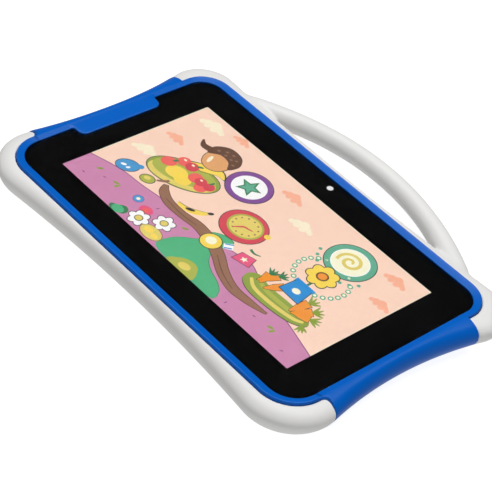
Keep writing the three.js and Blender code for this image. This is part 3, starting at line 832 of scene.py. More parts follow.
# A bumper screw's profile from its head on the back inwards, as heights and radii.
SCREW_PROFILE = ((0.1, 1.75), (0.13, 1.92), (0.22, 2.0), (0.4, 2.0), (1.4, 1.0), (3.7, 1.0), (4.3, 0.35))
CROSS_DEPTHS = ((-0.5, 1.25), (0.1, 1.0), (0.2, 0.92), (1.1, 0.5))  # height, size of its cross
CROSS_ARM = (1.15, 0.24)  # half its length and half its width


def cross_outline():
    long, narrow = CROSS_ARM
    points = []
    for sx, sy in ((1, 1), (-1, 1), (-1, -1), (1, -1)):
        arm = [(long * sx, narrow * sy), (narrow * sx, narrow * sy), (narrow * sx, long * sy)]
        points += arm if sx == sy else arm[::-1]
    return np.array(points)


def case_screw(name, x, y):
    """A countersunk screw with its head at the back."""
    body = loft(name, [in_plane(circle(r), "z", z, (x, y)) for z, r in SCREW_PROFILE])
    cross = cross_outline()
    rings = [in_plane(cross * grow, "z", z, (x, y)) for z, grow in CROSS_DEPTHS]
    return boolean(body, [loft("cross", rings)])


GLASS = (95.7, 60.1, 12.0, 14.5)  # half sizes, then the upper and the lower corners' radii
GLASS_EASE = ((13.15, 0.12), (13.27, 0.0), (13.88, 0.0), (GLASS_TOP, 0.12))  # height, inset
INK_Z = (13.1, 13.13)
INK_INSET = 0.3
INK_CUT = ((12.0, 0.0), (GLASS_TOP, 0.0))  # height, widening
CAMERA_HOLE = 1.9
CAMERA_TRIM = ((12.65, 1.6), (13.0, 1.6), (13.06, 1.45), (13.08, 0.6))  # height, radius


def glass_ring(z, inset):
    return in_plane(nearest_on(tuple(v - inset for v in GLASS), FOOT), "z", z)


def cover_glass():
    return loft("cover_glass_plate", [glass_ring(z, inset) for z, inset in GLASS_EASE])


def ink_border():
    """The black print under the glass, open over the display and over the front camera."""
    body = loft("border_print", [glass_ring(z, INK_INSET) for z in INK_Z])
    window = flared_cutter(*SCREEN, 0.4, "z", (0, 0), INK_CUT)
    r = CAMERA_HOLE
    hole = flared_cutter(r, r, r - 0.01, "z", FRONT_CAMERA, INK_CUT)
    return boolean(body, [window, hole])


def camera_trim():
    """The pale ring round the front camera's lens, under the glass."""
    rings = [in_plane(circle(r), "z", z, FRONT_CAMERA) for z, r in CAMERA_TRIM]
    return loft("front_camera_trim", rings)


# ---- The picture on the screen: a made-up garden of plain shapes ----

PANEL_TOP = 12.9
LAYER = 0.007
FIRST_LAYER = 0.008
WIDE, HIGH = SCREEN
DARK_EDGE = 0.4  # width of the dark line round a shape


def turned(x, y, degrees):
    t = math.radians(degrees)
    return x * math.cos(t) - y * math.sin(t), x * math.sin(t) + y * math.cos(t)


def ellipse(cx, cy, rx, ry=None, turn=0.0, count=40):
    a = spaced(0, 2 * math.pi, count)
    x, y = turned(rx * np.cos(a), (ry or rx) * np.sin(a), turn)
    return np.stack([cx + x, cy + y], 1)


# The cubic through four points, from the second to the third: rows are powers of the way along.
SPLINE = np.array([[0, 2, 0, 0], [-1, 0, 1, 0], [2, -5, 4, -1], [-1, 3, -3, 1]]) / 2


def curve_through(points, steps=8, closed=True):
    """A smooth curve through the points."""
    points = np.array(points, float)
    before, after = (points[-1:], points[:2]) if closed else (points[:1], points[-1:])
    guides = np.concatenate([before, points, after])
    weights = (np.arange(steps)[:, None] / steps) ** np.arange(4) @ SPLINE
    pieces = [weights @ guides[i:i + 4] for i in range(len(guides) - 3)]
    return np.concatenate(pieces if closed else [*pieces, points[-1:]])


def rising(*points):
    """A smooth shape that the picture's lower edge cuts off."""
    shape = curve_through(points)
    shape[:, 1] = np.maximum(shape[:, 1], -HIGH)
    return shape


def band(points, widths, steps=6):
    """A stroke along a smooth path, as wide at each point as the widths say."""
    path = curve_through(points, steps, closed=False)
    place = np.linspace(0, 1, len(path))
    half = np.interp(place, np.linspace(0, 1, len(widths)), widths)[:, None] / 2
    along = np.gradient(path, axis=0)
    side = np.stack([-along[:, 1], along[:, 0]], 1) / np.linalg.norm(along, axis=1)[:, None]
    return np.concatenate([path + side * half, (path - side * half)[::-1]])


def grown(outline, factor):
    return (outline - outline.mean(0)) * factor + outline.mean(0)


def star(cx, cy, r, points=5, waist=0.45, turn=90.0):
    a = np.radians(turn) + np.arange(2 * points) * math.pi / points
    radius = np.where(np.arange(2 * points) % 2 == 0, r, r * waist)
    return arc_points(cx, cy, radius, a)


def petals(cx, cy, reach, r, count, turn=0.0):
    """Round petals in a ring."""
    shapes = []
    for angle in spaced(turn, turn + 360, count):
        x, y = turned(reach, 0, angle)
        shapes.append(ellipse(cx + x, cy + y, r * 1.25, r, angle, 20))
    return shapes


def beads(cx, cy, rx, ry, r, count, first, last, sides=16):
    """Round beads along an arc."""
    a = np.radians(np.linspace(first, last, count))
    return [ellipse(cx + rx * math.cos(t), cy + ry * math.sin(t), r, count=sides) for t in a]


def specks(rx, ry, sides, places):
    """Ovals of one size, each at an (x, y, turn)."""
    return [ellipse(x, y, rx, ry, turn, sides) for x, y, turn in places]


def ovals(table):
    """Plain ovals, from rows of a colour, a layer and each oval's measures."""
    for colour, layer, *shapes in table:
        yield colour, layer, [ellipse(*shape) for shape in shapes]


def edged(colour, layer, cx, cy, rx, ry=None, turn=0.0, edge="ink"):
    """An oval over a slightly bigger dark one."""
    yield edge, layer, [ellipse(cx, cy, rx + DARK_EDGE, (ry or rx) + DARK_EDGE, turn)]
    yield colour, layer + 1, [ellipse(cx, cy, rx, ry, turn)]


# The round puffs of a cloud: each one's place and radius.
PUFFS = (
    (-4.4, -0.4, 1.3),
    (-2.3, 0.7, 1.7),
    (0.5, 1.5, 2.2),
    (3.0, 0.4, 1.6),
    (4.9, -0.5, 1.2),
    (-1.6, -0.8, 1.4),
    (1.6, -0.9, 1.5),
)


def cloud(cx, cy, size, turn=0.0):
    shapes = []
    for dx, dy, r in PUFFS:
        x, y = turned(dx * size, dy * size, turn)
        shapes.append(ellipse(cx + x, cy + y, r * size, count=24))
    return shapes


COLOURS = {
    "sky": (252, 212, 190),
    "cream": (252, 236, 206),
    "peach": (250, 178, 148),
    "mauve": (203, 132, 172),
    "plum": (140, 78, 128),
    "green": (74, 178, 124),
    "deep_green": (52, 122, 78),
    "leaf": (140, 160, 62),
    "olive": (172, 178, 70),
    "straw": (226, 206, 104),
    "yellow": (246, 214, 84),
    "pale": (248, 244, 214),
    "red": (214, 66, 82),
    "coral": (238, 98, 92),
    "pink": (232, 86, 128),
    "purple": (128, 70, 148),
    "brown": (148, 104, 80),
    "bark": (98, 64, 44),
    "orange": (240, 148, 50),
    "tan": (226, 164, 106),
    "blue": (66, 150, 206),
    "bright_blue": (30, 140, 212),
    "teal": (92, 170, 140),
    "white": (252, 252, 250),
    "ink": (44, 36, 40),
}


def sky():
    yield "pale", 0, [rounded_outline(WIDE, HIGH, 0.3)]
    yield "sky", 1, [rounded_outline(WIDE - 0.35, HIGH - 0.35, 0.3)]
    yield "cream", 2, cloud(-64, 36, 1.35, 5) + cloud(-66.5, -4, 1.25, 15) + cloud(13, 23.5, 1.2, 5)
    yield "peach", 2, cloud(-66, 14.5, 1.0) + cloud(-48, 41, 0.9) + cloud(-4, 34, 1.1)
    yield "peach", 2, cloud(63, 35, 1.1) + cloud(70, 18, 1.0)


HILL_EDGE = (
    (-WIDE, -27.8), (-61, -23), (-47, -21.6), (-32, -19.6), (-12, -18.5), (9, -15.5),
    (20, -13.5), (32, -18), (46, -22.5), (60, -26), (WIDE, -30.8),
)
POND = (
    (-12, -42), (-12, -34), (-9, -28.5), (-5, -23.5), (-6, -17), (-1, -12), (6, -11.5), (6, -18),
    (5, -23), (9, -29), (15, -32.5), (22, -35), (27, -39), (26, -44.2), (0, -44.2),
)
STONES = ((-60, -33, 20), (-30, -26, 60), (46, -35, 10), (68, -39, 40), (33, -40, 80), (-68, -39, 0))
BLADES = ((-54, -31, 20), (-52, -32, 80), (55, -33.5, 20), (57, -34.6, 70), (-13, -24, 30), (-66, -31, 50))


def hills():
    ground = [*curve_through(HILL_EDGE, closed=False), (WIDE, -HIGH), (-WIDE, -HIGH)]
    pond = rising(*POND)
    yield "mauve", 2, [np.array(ground)]
    yield "plum", 3, [band(HILL_EDGE, [0.5, 0.5])]
    yield "deep_green", 3, [pond + (0, 0.4)]
    yield "green", 4, [pond]
    yield "olive", 5, [rising((-2, -44.2), (1, -38), (6, -35.5), (11, -37), (14, -44.2))]
    yield "straw", 6, [ellipse(6, -40.5, 3.2, 2.2, 10)]
    yield "plum", 4, specks(0.9, 0.35, 14, STONES)
    yield "leaf", 4, specks(1.7, 0.7, 16, BLADES)


def star_badge(cx=-20, cy=21, size=11.4):
    yield from edged("purple", 12, cx, cy, size)
    yield "white", 14, [ellipse(cx, cy, size * 0.76)]
    yield "deep_green", 15, [star(cx, cy, 6.6)]
    yield "teal", 16, [star(cx, cy, 4.6)]


def spiral_badge(cx=43.3, cy=26, size=12.2):
    yield from edged("teal", 12, cx, cy, size)
    yield "white", 14, [ellipse(cx, cy, size * 0.76)]
    yield "pale", 15, [ellipse(cx, cy, 8.8)]
    spiral = arc_points(cx, cy, np.linspace(0.8, 6.4, 22), np.linspace(0, 10, 22))
    yield "straw", 16, [band(spiral, [1.2, 1.8, 1.6], 3)]
    yield "teal", 12, beads(cx, cy, 15.2, 15.2, 0.9, 9, 200, 330)


def dial(cx=-0.2, cy=0.2):
    """A plain round dial with twelve dots and two hands."""
    face_x, face_y = cx + 0.3, cy + 0.6
    yield from edged("red", 10, cx, cy, 11.8, 11)
    yield "olive", 12, [ellipse(face_x, face_y, 9, 8.3)]
    yield "straw", 13, [ellipse(face_x, face_y, 8, 7.3)]
    yield "brown", 14, beads(face_x, face_y, 6.4, 5.8, 0.5, 12, 0, 330, sides=12)
    for dx, dy in ((-3, -4.6), (4.6, 1.2)):
        yield "red", 14, [band([(cx, cy), (cx + dx, cy + dy)], [1.2, 0.5])]
    yield "yellow", 14, [ellipse(cx + 11, cy + 4.5, 1.6)]


FRUIT = (
    ("straw", 6, (-42.5, -1.4, 17.2, 8.0, 24)),
    ("olive", 7, (-43.5, 1, 16.2, 7.6, 24)),
    ("yellow", 8, (-46, -1.5, 5.6, 4.4, 20), (-40.5, -2.5, 4.6, 4.0)),
    ("coral", 9, (-54, 0.5, 4.0, 3.4, 30), (-50, 6.6, 3.4), (-38, 3.4, 3.6), (-31.5, 0.6, 3.2)),
    ("red", 10, (-45, 7.2, 3.3), (-34.5, 3.6, 3.0), (-29.5, 4.4, 2.8)),
    ("pale", 11, (-45.6, 8.4, 0.9, 0.6), (-35.2, 4.6, 0.8, 0.5), (-50.6, 7.8, 0.9, 0.6)),
    ("deep_green", 11, (-52.5, 3.6, 1.6, 0.7, 60), (-42.8, 10.4, 1.8, 0.7, 40), (-30.6, 7.3, 1.6, 0.6, 80)),
)


def fruit_bowl():
    yield from edged("leaf", 4, -43, 0, 18.4, 10.0, 24)
    yield from ovals(FRUIT)


ACORN_CAP = (
    (-50, 21), (-51.5, 27), (-46, 32.5), (-38, 32), (-33.6, 26.5), (-35, 20.5), (-39, 24.5), (-45, 25),
)
CAP_SCALES = (
    (-48, 26.5, 30), (-45, 29.3, 30), (-41.4, 30.2, 30), (-37.6, 28.6, 30), (-43.6, 27.0, 30),
    (-39.8, 27.0, 30), (-36.2, 25.0, 30),
)


def acorn():
    """A big acorn on its leaf, behind the bowl."""
    cap = curve_through(ACORN_CAP)
    yield "ink", 8, [band([(-49, 9), (-42, 11.5), (-35, 15.5), (-29, 14)], [0.8, 6.6, 5.4, 0.8])]
    yield "yellow", 9, [band([(-48, 9.2), (-42, 11.5), (-35, 15.2), (-30, 14)], [0.4, 5.8, 4.6, 0.4])]
    yield from edged("tan", 10, -42.4, 21, 7.2, 8.2, 10)
    yield "cream", 12, [ellipse(-45.4, 18.6, 1.0, 2.8, 20)]
    yield "ink", 12, [cap + (0.1, 0.3)]
    yield "bark", 13, [cap, band([(-50, 24), (-55, 23), (-58.5, 26)], [4.2, 3.4, 0.6])]
    yield "brown", 14, specks(0.9, 0.6, 12, CAP_SCALES)


BEAM = (
    (-41.3, -11.5), (-38, -15.6), (-31, -18.6), (-21, -18.8), (-11, -17.6), (0, -19.6),
    (8, -22.6), (18, -28.2), (28, -31.4), (38, -31), (48, -29.4),
)
BANANA = ((-29, -14.6), (-24, -13.4), (-18, -9.6), (-14.6, -6.6), (-16, -11.6), (-21, -15.4), (-27, -16.2))


def beam():
    """A wooden beam with its knob, and a banana on it."""
    banana = curve_through(BANANA)
    yield "bark", 6, [band(BEAM, [2.4, 5.2, 5.4, 5.2, 6.0, 6.6, 6.6, 6.2, 5.6, 4.4, 1.4])]
    yield "brown", 7, [band(BEAM, [1.6, 4.4, 4.6, 4.4, 5.2, 5.8, 5.8, 5.4, 4.8, 3.6, 0.8])]
    for crack in ([(8, -23), (18, -28.6), (28, -31.8)], [(-34, -18), (-22, -19), (-12, -18)]):
        yield "bark", 8, [band(crack, [0.3, 0.5, 0.3])]
    yield from edged("yellow", 9, -0.6, -19.4, 5.0)
    yield "pale", 11, [ellipse(-0.9, -19.0, 2.6)]
    yield "ink", 9, [banana + (0.15, 0.35)]
    yield "yellow", 10, [banana]
    yield "ink", 11, [ellipse(-14.8, -7.2, 1.5, 0.9, 50), ellipse(-22, -13.4, 2.4, 0.9, 30)]


BERRIES = (
    ("blue", 7, (-57.6, -14.2, 2.2, 1.6, 40)),
    ("white", 8, (-63, -19.4, 1.5, 0.8, 30), (-60, -19.2, 1.1, 0.7, 60)),
    ("straw", 7, (-49.6, -16.2, 1.8, 1.3, 20)),
    ("deep_green", 5, (-41, -42.2, 3.2, 2.0), (-38, -40.4, 3.0)),
    ("green", 6, (-39.5, -41.6, 3.2, 2.6)),
    ("purple", 5, (-40, -29.2, 2.7)),
    ("blue", 6, (-40, -29.2, 2.4)),
    ("pale", 7, (-40, -29.2, 1.0)),
    ("pink", 6, (-31.8, -31.4, 3.6, 3.0)),
    ("coral", 7, (-31.8, -31.4, 1.6)),
    ("yellow", 9, (-21, -38.6, 2.6, 1.8), (-16.2, -39.4, 2.0, 1.5)),
)


def berries():
    yield from edged("blue", 5, -61.4, -18.4, 5.6, 4.2, 35)
    yield from edged("olive", 5, -49, -16.6, 3.6, 2.8, 20)
    yield "brown", 7, [band([(-46, -13.6), (-43.4, -10.6), (-42.6, -8.6)], [1.2, 1.8, 1.4])]
    yield from edged("straw", 7, -19, -39, 6.0, 3.9, edge="brown")
    yield from ovals(BERRIES)


def daisies():
    for x, y, turn in ((-29.5, -37.5, 10), (-20.6, -30.0, 40)):
        yield "ink", 8, petals(x, y, 3.0, 2.15, 6, turn)
        yield "white", 9, petals(x, y, 3.0, 1.8, 6, turn)
        yield from edged("straw", 10, x, y, 1.7)


def gift():
    """A gift with a star, a leaf over it and a candy stick beside it."""
    box = np.array([(12.4, -18.4), (12.6, -12.0), (19.6, -10.2), (21.4, -16.4)])
    yield "ink", 6, [grown(box, 1.08)]
    yield "pink", 7, [box]
    yield "pale", 8, [star(16.6, -14.6, 2.0)]
    yield "deep_green", 7, [band([(13, -7.4), (16, -8), (19, -6.6)], [1.5, 1.1, 0.3])]
    yield "white", 8, [band([(4.6, -16.4), (8, -13.4)], [3.2, 4.4])]
    for stripe in ([(5.6, -17.2), (8.4, -14.6)], [(4.2, -15.0), (7.2, -12.2)]):
        yield "blue", 9, [band(stripe, [0.8, 0.8])]


def carrot(cx, cy, length, turn, grow=0.0):
    """A carrot with its top at the place given, pointing away from the turn's direction."""
    t = math.radians(turn)
    along = np.array([math.cos(t), math.sin(t)])
    top = np.array([cx, cy]) + along * grow
    tip = np.array([cx, cy]) - along * (length + grow)
    return band([top, (top + tip) / 2, tip], [4.8 + 2 * grow, 3.8 + 2 * grow, 0.6 + grow])


def tuft(cx, cy, size, turn):
    """Four leaves that spread from one place."""
    shapes = []
    for offset in (-40, -15, 12, 38):
        x, y = turned(size, 0, turn + offset)
        path = [(cx, cy), (cx + x / 2 + 0.3, cy + y / 2), (cx + x, cy + y)]
        shapes.append(band(path, [0.9, 1.3, 0.3]))
    return shapes


# Each carrot in the basket: the place of its top, its length and the way its leaves point.
CARROTS = (
    (30.0, -11.0, 7.6, 100),
    (33.2, -8.6, 10.4, 68),
    (39.6, -11.2, 9.6, 60),
    (53.0, -9.0, 10.6, 82),
    (58.0, -11.5, 9.8, 58),
    (60.5, -15.5, 8.6, 25),
)


BASKET = (
    (24, -18.5), (25.5, -23.5), (33, -26.5), (46, -26.2), (57, -24.2), (63, -20.0), (60, -16.4),
    (48, -16), (36, -16.4), (28, -15),
)
WEAVE = ((27, -19.5), (33, -23), (45, -23.2), (56, -21.6), (60.5, -19.2))
WEAVE_TOP = ((30, -17.8), (38, -19.6), (50, -19.4), (58, -18.2))


def basket():
    """A basket of carrots."""
    side = curve_through(BASKET)
    yield "ink", 7, [side + (0.1, -0.4)]
    yield "leaf", 8, [side]
    yield "straw", 9, [band(WEAVE, [1.4, 2.0, 2.2, 2.0, 1.2])]
    yield "olive", 10, [band(WEAVE_TOP, [1.6, 2.4, 2.4, 1.6])]
    yield "ink", 11, [carrot(*place, grow=0.25) for place in CARROTS]
    yield "orange", 12, [carrot(*place) for place in CARROTS]
    for colour, size, places in (("deep_green", 4.6, CARROTS[:3]), ("leaf", 5.4, CARROTS[3:])):
        yield colour, 13, [leaf for x, y, _, turn in places for leaf in tuft(x, y, size, turn)]
    yield "leaf", 13, tuft(61.5, -21.5, 4.4, -50)


def flowerpot():
    """A yellow flower in a blue pot, inside a ring of beads."""
    x, y = 43.4, 8.4
    pot = np.array([(39.0, -2.2), (48.4, -2.2), (50.4, -13.4), (38.2, -13.0)])
    for colour, layer, r in (("teal", 12, 1.35), ("pale", 13, 0.75)):
        yield colour, layer, beads(43.8, 7.6, 13.6, 12.2, r, 22, 60, 395)
    yield "deep_green", 14, [band([(44, -3), (43.8, 2), (43.5, 6)], [1.4, 1.1, 1.0])]
    yield "ink", 15, petals(x, y, 4.2, 3.2, 7) + [grown(pot, 1.07)]
    yield "yellow", 16, petals(x, y, 4.2, 2.8, 7)
    yield "bark", 17, [ellipse(x, y, 3.0)]
    yield "orange", 18, [ellipse(x, y, 2.2)]
    yield "bright_blue", 16, [pot, band([(38, -2.4), (49.4, -2.4)], [2.0, 2.0])]
    yield "pale", 17, [ellipse(44.2, -8.4, 2.1, 1.8)]


SCENES = (
    sky, hills, fruit_bowl, acorn, star_badge, spiral_badge, dial, beam, berries, daisies, gift,
    basket, flowerpot,
)


def picture():
    """Every shape of the picture as a thin plate, one object for each colour."""
    plates = {}
    for scene in SCENES:
        for colour, layer, shapes in scene():
            top = PANEL_TOP + FIRST_LAYER + LAYER * layer
            for shape in shapes:
                rings = [in_plane(shape, "z", z) for z in (PANEL_TOP, top)]
                plates.setdefault(colour, []).append(loft("plate", rings))
    made = []
    for colour, parts in plates.items():
        piece = joined(parts)
        piece.name = "picture_" + colour
        made.append((piece, colour))
    return made


# ---- Materials ----

def connect(tree, to, inputs):
    """Sets a node's inputs, each to a plain value or to another node's output."""
    for name, value in inputs.items():
        if isinstance(value, bpy.types.NodeSocket):
            tree.links.new(value, to.inputs[name])
        else:
            to.inputs[name].default_value = value


def node(tree, kind, output, inputs=None, **settings):
    """An output of a new node."""
    made = tree.nodes.new(kind)
    for name, value in settings.items():
        setattr(made, name, value)
    connect(tree, made, inputs or {})
    return made.outputs[output]


def node_material(name):
    material = bpy.data.materials.new(name)
    material.use_nodes = True
    return material, material.node_tree, material.node_tree.nodes["Principled BSDF"]


def grain(tree, scale, low=0.0, high=1.0, detail=3.0):
    """Noise in the object's own space, mapped to a range."""
    place = node(tree, "ShaderNodeTexCoord", "Object")
    noise = node(tree, "ShaderNodeTexNoise", "Fac", {"Vector": place, "Scale": scale, "Detail": detail})
    return node(tree, "ShaderNodeMapRange", "Result", {"Value": noise, "To Min": low, "To Max": high})


def srgb(r, g, b):
    """An 0 to 255 screen colour as the linear colour that shaders take."""
    return tuple((c / 255 / 12.92) if c <= 10 else ((c / 255 + 0.055) / 1.055) ** 2.4 for c in (r, g, b))


def mixed(tree, factor, a, b):
    inputs = {"Factor": factor, "A": (*a, 1), "B": (*b, 1)}
    return node(tree, "ShaderNodeMix", "Result", inputs, data_type="RGBA")


def bumped(tree, height, distance, strength=0.35):
    inputs = {"Height": height, "Distance": distance * MM, "Strength": strength}
    return node(tree, "ShaderNodeBump", "Normal", inputs)


def moulded_plastic(name, color, shade, roughness, bump=0.02, grain_scale=2600.0, specular=0.5):
    """Moulded plastic: a faint mottle in its colour, an uneven sheen and a fine eroded grain."""
    material, tree, shader = node_material(name)
    connect(tree, shader, {
        "Base Color": mixed(tree, grain(tree, 45.0), color, shade),
        "Roughness": grain(tree, 120.0, roughness - 0.04, roughness + 0.05),
        "Specular IOR Level": specular,
        "Normal": bumped(tree, grain(tree, grain_scale, detail=2.0), bump),
    })
    return material


def metal(name, color, roughness, bump=0.004):
    material, tree, shader = node_material(name)
    connect(tree, shader, {
        "Base Color": mixed(tree, grain(tree, 300.0), color, tuple(c * 0.8 for c in color)),
        "Roughness": grain(tree, 500.0, roughness - 0.08, roughness + 0.1),
        "Metallic": 1.0,
        "Normal": bumped(tree, grain(tree, 900.0), bump),
    })
    return material


def dotted(tree, pitch, size):
    """1 inside round dots on a square grid, with the pitch and the size in millimetres."""
    place = node(tree, "ShaderNodeTexCoord", "Object")
    grid = {"Vector": place, "Scale": 1 / (pitch * MM), "Randomness": 0.0}
    cells = node(tree, "ShaderNodeTexVoronoi", "Distance", grid)
    return node(tree, "ShaderNodeMath", "Value", {0: cells, 1: size / pitch / 2}, operation="LESS_THAN")


def perforated_steel(name):
    material, tree, shader = node_material(name)
    holes = dotted(tree, 0.9, 0.5)
    connect(tree, shader, {
        # The holes' near-black colour is painted shade, standing in for the dark inside them.
        "Base Color": mixed(tree, holes, (0.42, 0.42, 0.43), (0.004, 0.004, 0.004)),
        "Roughness": grain(tree, 500.0, 0.3, 0.45),
        "Metallic": 0.9,
        "Normal": bumped(tree, holes, -0.2, 0.8),
    })
    return material


def printed_board(name):
    material, tree, shader = node_material(name)
    connect(tree, shader, {
        "Base Color": mixed(tree, dotted(tree, 2.6, 0.9), (0.004, 0.085, 0.035), (0.5, 0.36, 0.12)),
        "Roughness": grain(tree, 300.0, 0.3, 0.45),
        "Normal": bumped(tree, grain(tree, 700.0), 0.02),
    })
    return material


def clear_glass(name):
    material, tree, shader = node_material(name)
    roughness = grain(tree, 60.0, 0.0, 0.02)
    look = {"Base Color": (1, 1, 1, 1), "Transmission Weight": 1.0, "IOR": 1.45, "Roughness": roughness}
    connect(tree, shader, look)
    return material


PICTURE_STRENGTH = 1.05


def lit_colour(name, color):
    """A glowing colour with a faint unevenness as if painted: the lit picture's own light, and the front
    camera trim's painted glow, which stands in for a highlight.
    """
    material, tree, shader = node_material(name)
    brighter = tuple(min(1.0, c * 1.06) for c in color)
    darker = tuple(c * 0.95 for c in color)
    connect(tree, shader, {
        "Base Color": (0.01, 0.01, 0.01, 1),
        "Roughness": 0.6,
        "Emission Color": mixed(tree, grain(tree, 260.0), darker, brighter),
        "Emission Strength": PICTURE_STRENGTH,
    })
    return material


# Each plastic slot: the material's name, its two colours, its roughness and what else differs.
PLASTICS = {
    "blue_case": ("blue_plastic", (0.0, 0.115, 0.53), (0.0, 0.107, 0.50), 0.30, {"specular": 0.14}),
    "white_bumper": ("white_plastic", (0.77, 0.765, 0.75), (0.74, 0.735, 0.72), 0.50, {"bump": 0.03}),
    "white_key": ("key_plastic", (0.78, 0.77, 0.745), (0.75, 0.74, 0.715), 0.42, {}),
    "grey_shell": ("shell_plastic", (0.045, 0.046, 0.05), (0.038, 0.039, 0.042), 0.5, {}),
    "black_frame": ("black_plastic", (0.012, 0.012, 0.013), (0.009, 0.009, 0.01), 0.5, {}),
    "gasket": ("gasket_foam", (0.01,) * 3, (0.02,) * 3, 0.9, {"bump": 0.1, "grain_scale": 900.0}),
    "display": ("display_film", (0.006, 0.006, 0.008), (0.008, 0.008, 0.01), 0.3, {"bump": 0.002}),
    "light_guide": ("diffuser_acrylic", (0.8, 0.8, 0.8), (0.75, 0.75, 0.76), 0.35, {}),
    "amber_film": ("polyimide_film", (0.5, 0.22, 0.02), (0.42, 0.17, 0.015), 0.3, {"bump": 0.003}),
    "lens_window": (
        "lens_black_glass", (0.004, 0.004, 0.006), (0.006, 0.006, 0.008), 0.08, {"bump": 0.0005},
    ),
}


def slot_materials():
    materials = {slot: moulded_plastic(*look, **more) for slot, (*look, more) in PLASTICS.items()}
    materials["cover_glass"] = clear_glass("cover_glass_clear")
    materials["steel_sheet"] = metal("pressed_steel", (0.55, 0.55, 0.56), 0.36)
    materials["screw_steel"] = metal("screw_steel_plate", (0.48, 0.48, 0.49), 0.32)
    materials["battery_foil"] = metal("battery_wrap", (0.62, 0.62, 0.64), 0.45, 0.05)
    materials["circuit_board"] = printed_board("printed_board")
    return materials


def paint(obj, material):
    obj.data.materials.clear()
    obj.data.materials.append(material)


def dress_frame(materials):
    """Gives every CAD node the material of its slot in the record."""
    mesh_steel = perforated_steel("perforated_mesh")
    for name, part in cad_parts.items():
        slot = part.data.materials[0].name
        paint(part, mesh_steel if name.startswith("speaker_mesh") else materials[slot])


def add_piece(piece, material, body, slot, *nodes):
    paint(piece, material)
    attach(piece, body)
    if nodes:
        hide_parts(*nodes)


BORDER_INK = ((0.005, 0.005, 0.0055), (0.004, 0.004, 0.0045))


def build():
    materials = slot_materials()
    dress_frame(materials)

    def place(piece, body, slot, *nodes):
        add_piece(piece, materials[slot], body, slot, *nodes)

    place(inner_case(), "tablet", "blue_case", "inner_case")
    place(upper_bumper(), "tablet", "white_bumper", "upper_bumper_with_handle")
    place(lower_bumper(), "tablet", "white_bumper", "lower_bumper")
    place(side_key("power_key", POWER_KEY), "power_button", "white_key", "power_button")
    place(side_key("volume_key", VOLUME_KEY), "volume_rocker", "white_key", "volume_rocker")
    for side, word in ((1, "upper"), (-1, "lower")):
        for k, x in enumerate(BUMPER_SCREW_X, 1):
            screw = case_screw(f"{word}_case_screw_{k}", x, side * BUMPER_SCREW_Y)
            place(screw, "tablet", "screw_steel", f"{word}_bumper_screw_{k}")
    place(cover_glass(), "tablet", "cover_glass", "cover_glass")
    ink = moulded_plastic("border_ink", *BORDER_INK, roughness=0.7, bump=0.001, specular=0.0)
    add_piece(ink_border(), ink, "tablet", "black_frame")
    # The front camera's trim glows though it is no lamp: a painted highlight.
    add_piece(camera_trim(), lit_colour("camera_ring_painted_glow", (0.8, 0.8, 0.82)), "tablet", "black_frame")
    for piece, colour in picture():
        add_piece(piece, lit_colour("lit_" + colour, srgb(*COLOURS[colour])), "tablet", "display")


CAMERA = {
    "place": (393.2, -460.5, 513.8),
    "right": (0.65432, 0.73766, 0.16648),
    "forward": (-0.49366, 0.58343, -0.64491),
    "lens": 127.66,
    "sensor": 36.0,
}


def camera():
    data = bpy.data.cameras.new("camera")
    data.lens = CAMERA["lens"]
    data.sensor_width = CAMERA["sensor"]
    data.clip_start, data.clip_end = 0.01, 20
    obj = new_object("camera", data)
    right, forward = Vector(CAMERA["right"]).normalized(), Vector(CAMERA["forward"]).normalized()
    turn = Matrix((right, right.cross(forward), -forward)).transposed().to_4x4()
    obj.matrix_world = Matrix.Translation(Vector(CAMERA["place"]) * MM) @ turn
    bpy.context.scene.camera = obj


# The one lamp, over the far side, with lengths in metres and its power in watts.
OVERHEAD = {"place": (-0.25, 0.55, 2.0), "size": (2.3, 0.8), "power": 49}


def overhead_light():
    """A wide lamp aimed at the frame's origin."""
    data = bpy.data.lights.new("overhead", "AREA")
    data.shape = "RECTANGLE"
    data.size, data.size_y = OVERHEAD["size"]
    data.energy = OVERHEAD["power"]
    obj = new_object("overhead", data)
    obj.location = OVERHEAD["place"]
    obj.rotation_euler = (-Vector(OVERHEAD["place"])).to_track_quat("-Z", "Y").to_euler()


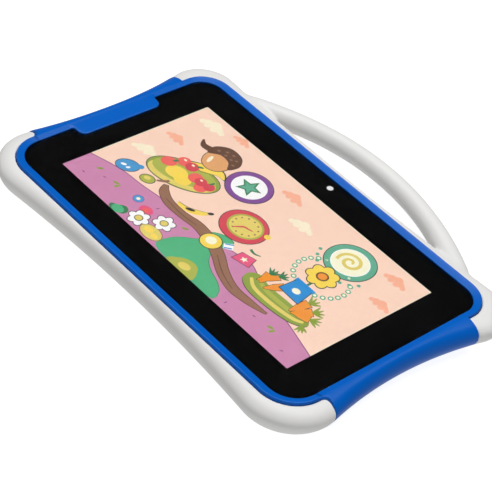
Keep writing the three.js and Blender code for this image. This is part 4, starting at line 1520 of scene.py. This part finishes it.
# Each fade: a direction, how far along it the fade starts and ends, and the light at either end.
DARK_END = ((0.0, 0.8, 1.0), (0.0, 0.95), (0.52, 0.045))
BRIGHT_SIDE = ((0.55, -0.3, -0.8), (-1.0, 1.0), (0.4, 1.6))


def room_fade(tree, direction, axis, span, light):
    along = node(tree, "ShaderNodeVectorMath", "Value", {0: direction, 1: axis}, operation="DOT_PRODUCT")
    names = ("From Min", "From Max", "To Min", "To Max")
    return node(tree, "ShaderNodeMapRange", "Result", {"Value": along, **dict(zip(names, span + light))})


def room():
    """A pale room, brighter at its right side, that darkens towards the top and the far end,
    which the screen mirrors."""
    world = bpy.data.worlds.new("room")
    world.use_nodes = True
    tree = world.node_tree
    direction = node(tree, "ShaderNodeTexCoord", "Generated")
    fades = {k: room_fade(tree, direction, *fade) for k, fade in enumerate((DARK_END, BRIGHT_SIDE))}
    strength = node(tree, "ShaderNodeMath", "Value", fades, operation="MULTIPLY")
    connect(tree, tree.nodes["Background"], {"Color": (1, 1, 1, 1), "Strength": strength})
    bpy.context.scene.world = world


FLOOR_REACH = 6.0  # metres
FLOOR_GREY = 0.3
FLOOR_GLOW = 0.9


def floor_sheet():
    """White paper that glows a little, but lights nothing and isn't mirrored."""
    sides = ((-1, -1), (1, -1), (1, 1), (-1, 1))
    corners = [(x * FLOOR_REACH, y * FLOOR_REACH, 0) for x, y in sides]
    mesh = bpy.data.meshes.new("floor")
    mesh.from_pydata(corners, [], [(0, 1, 2, 3)])
    material, tree, shader = node_material("floor_paper")
    connect(tree, shader, {
        "Base Color": (FLOOR_GREY, FLOOR_GREY, FLOOR_GREY, 1),
        "Roughness": grain(tree, 3.0, 0.86, 0.94),
        "Emission Color": (1, 1, 1, 1),
        "Emission Strength": FLOOR_GLOW,
    })
    mesh.materials.append(material)
    floor = new_object("floor", mesh)
    floor.visible_diffuse = False
    floor.visible_glossy = False
    floor.visible_shadow = False


def studio():
    bpy.context.scene.view_settings.view_transform = "Standard"
    room()
    overhead_light()
    floor_sheet()


camera()
studio()
build()
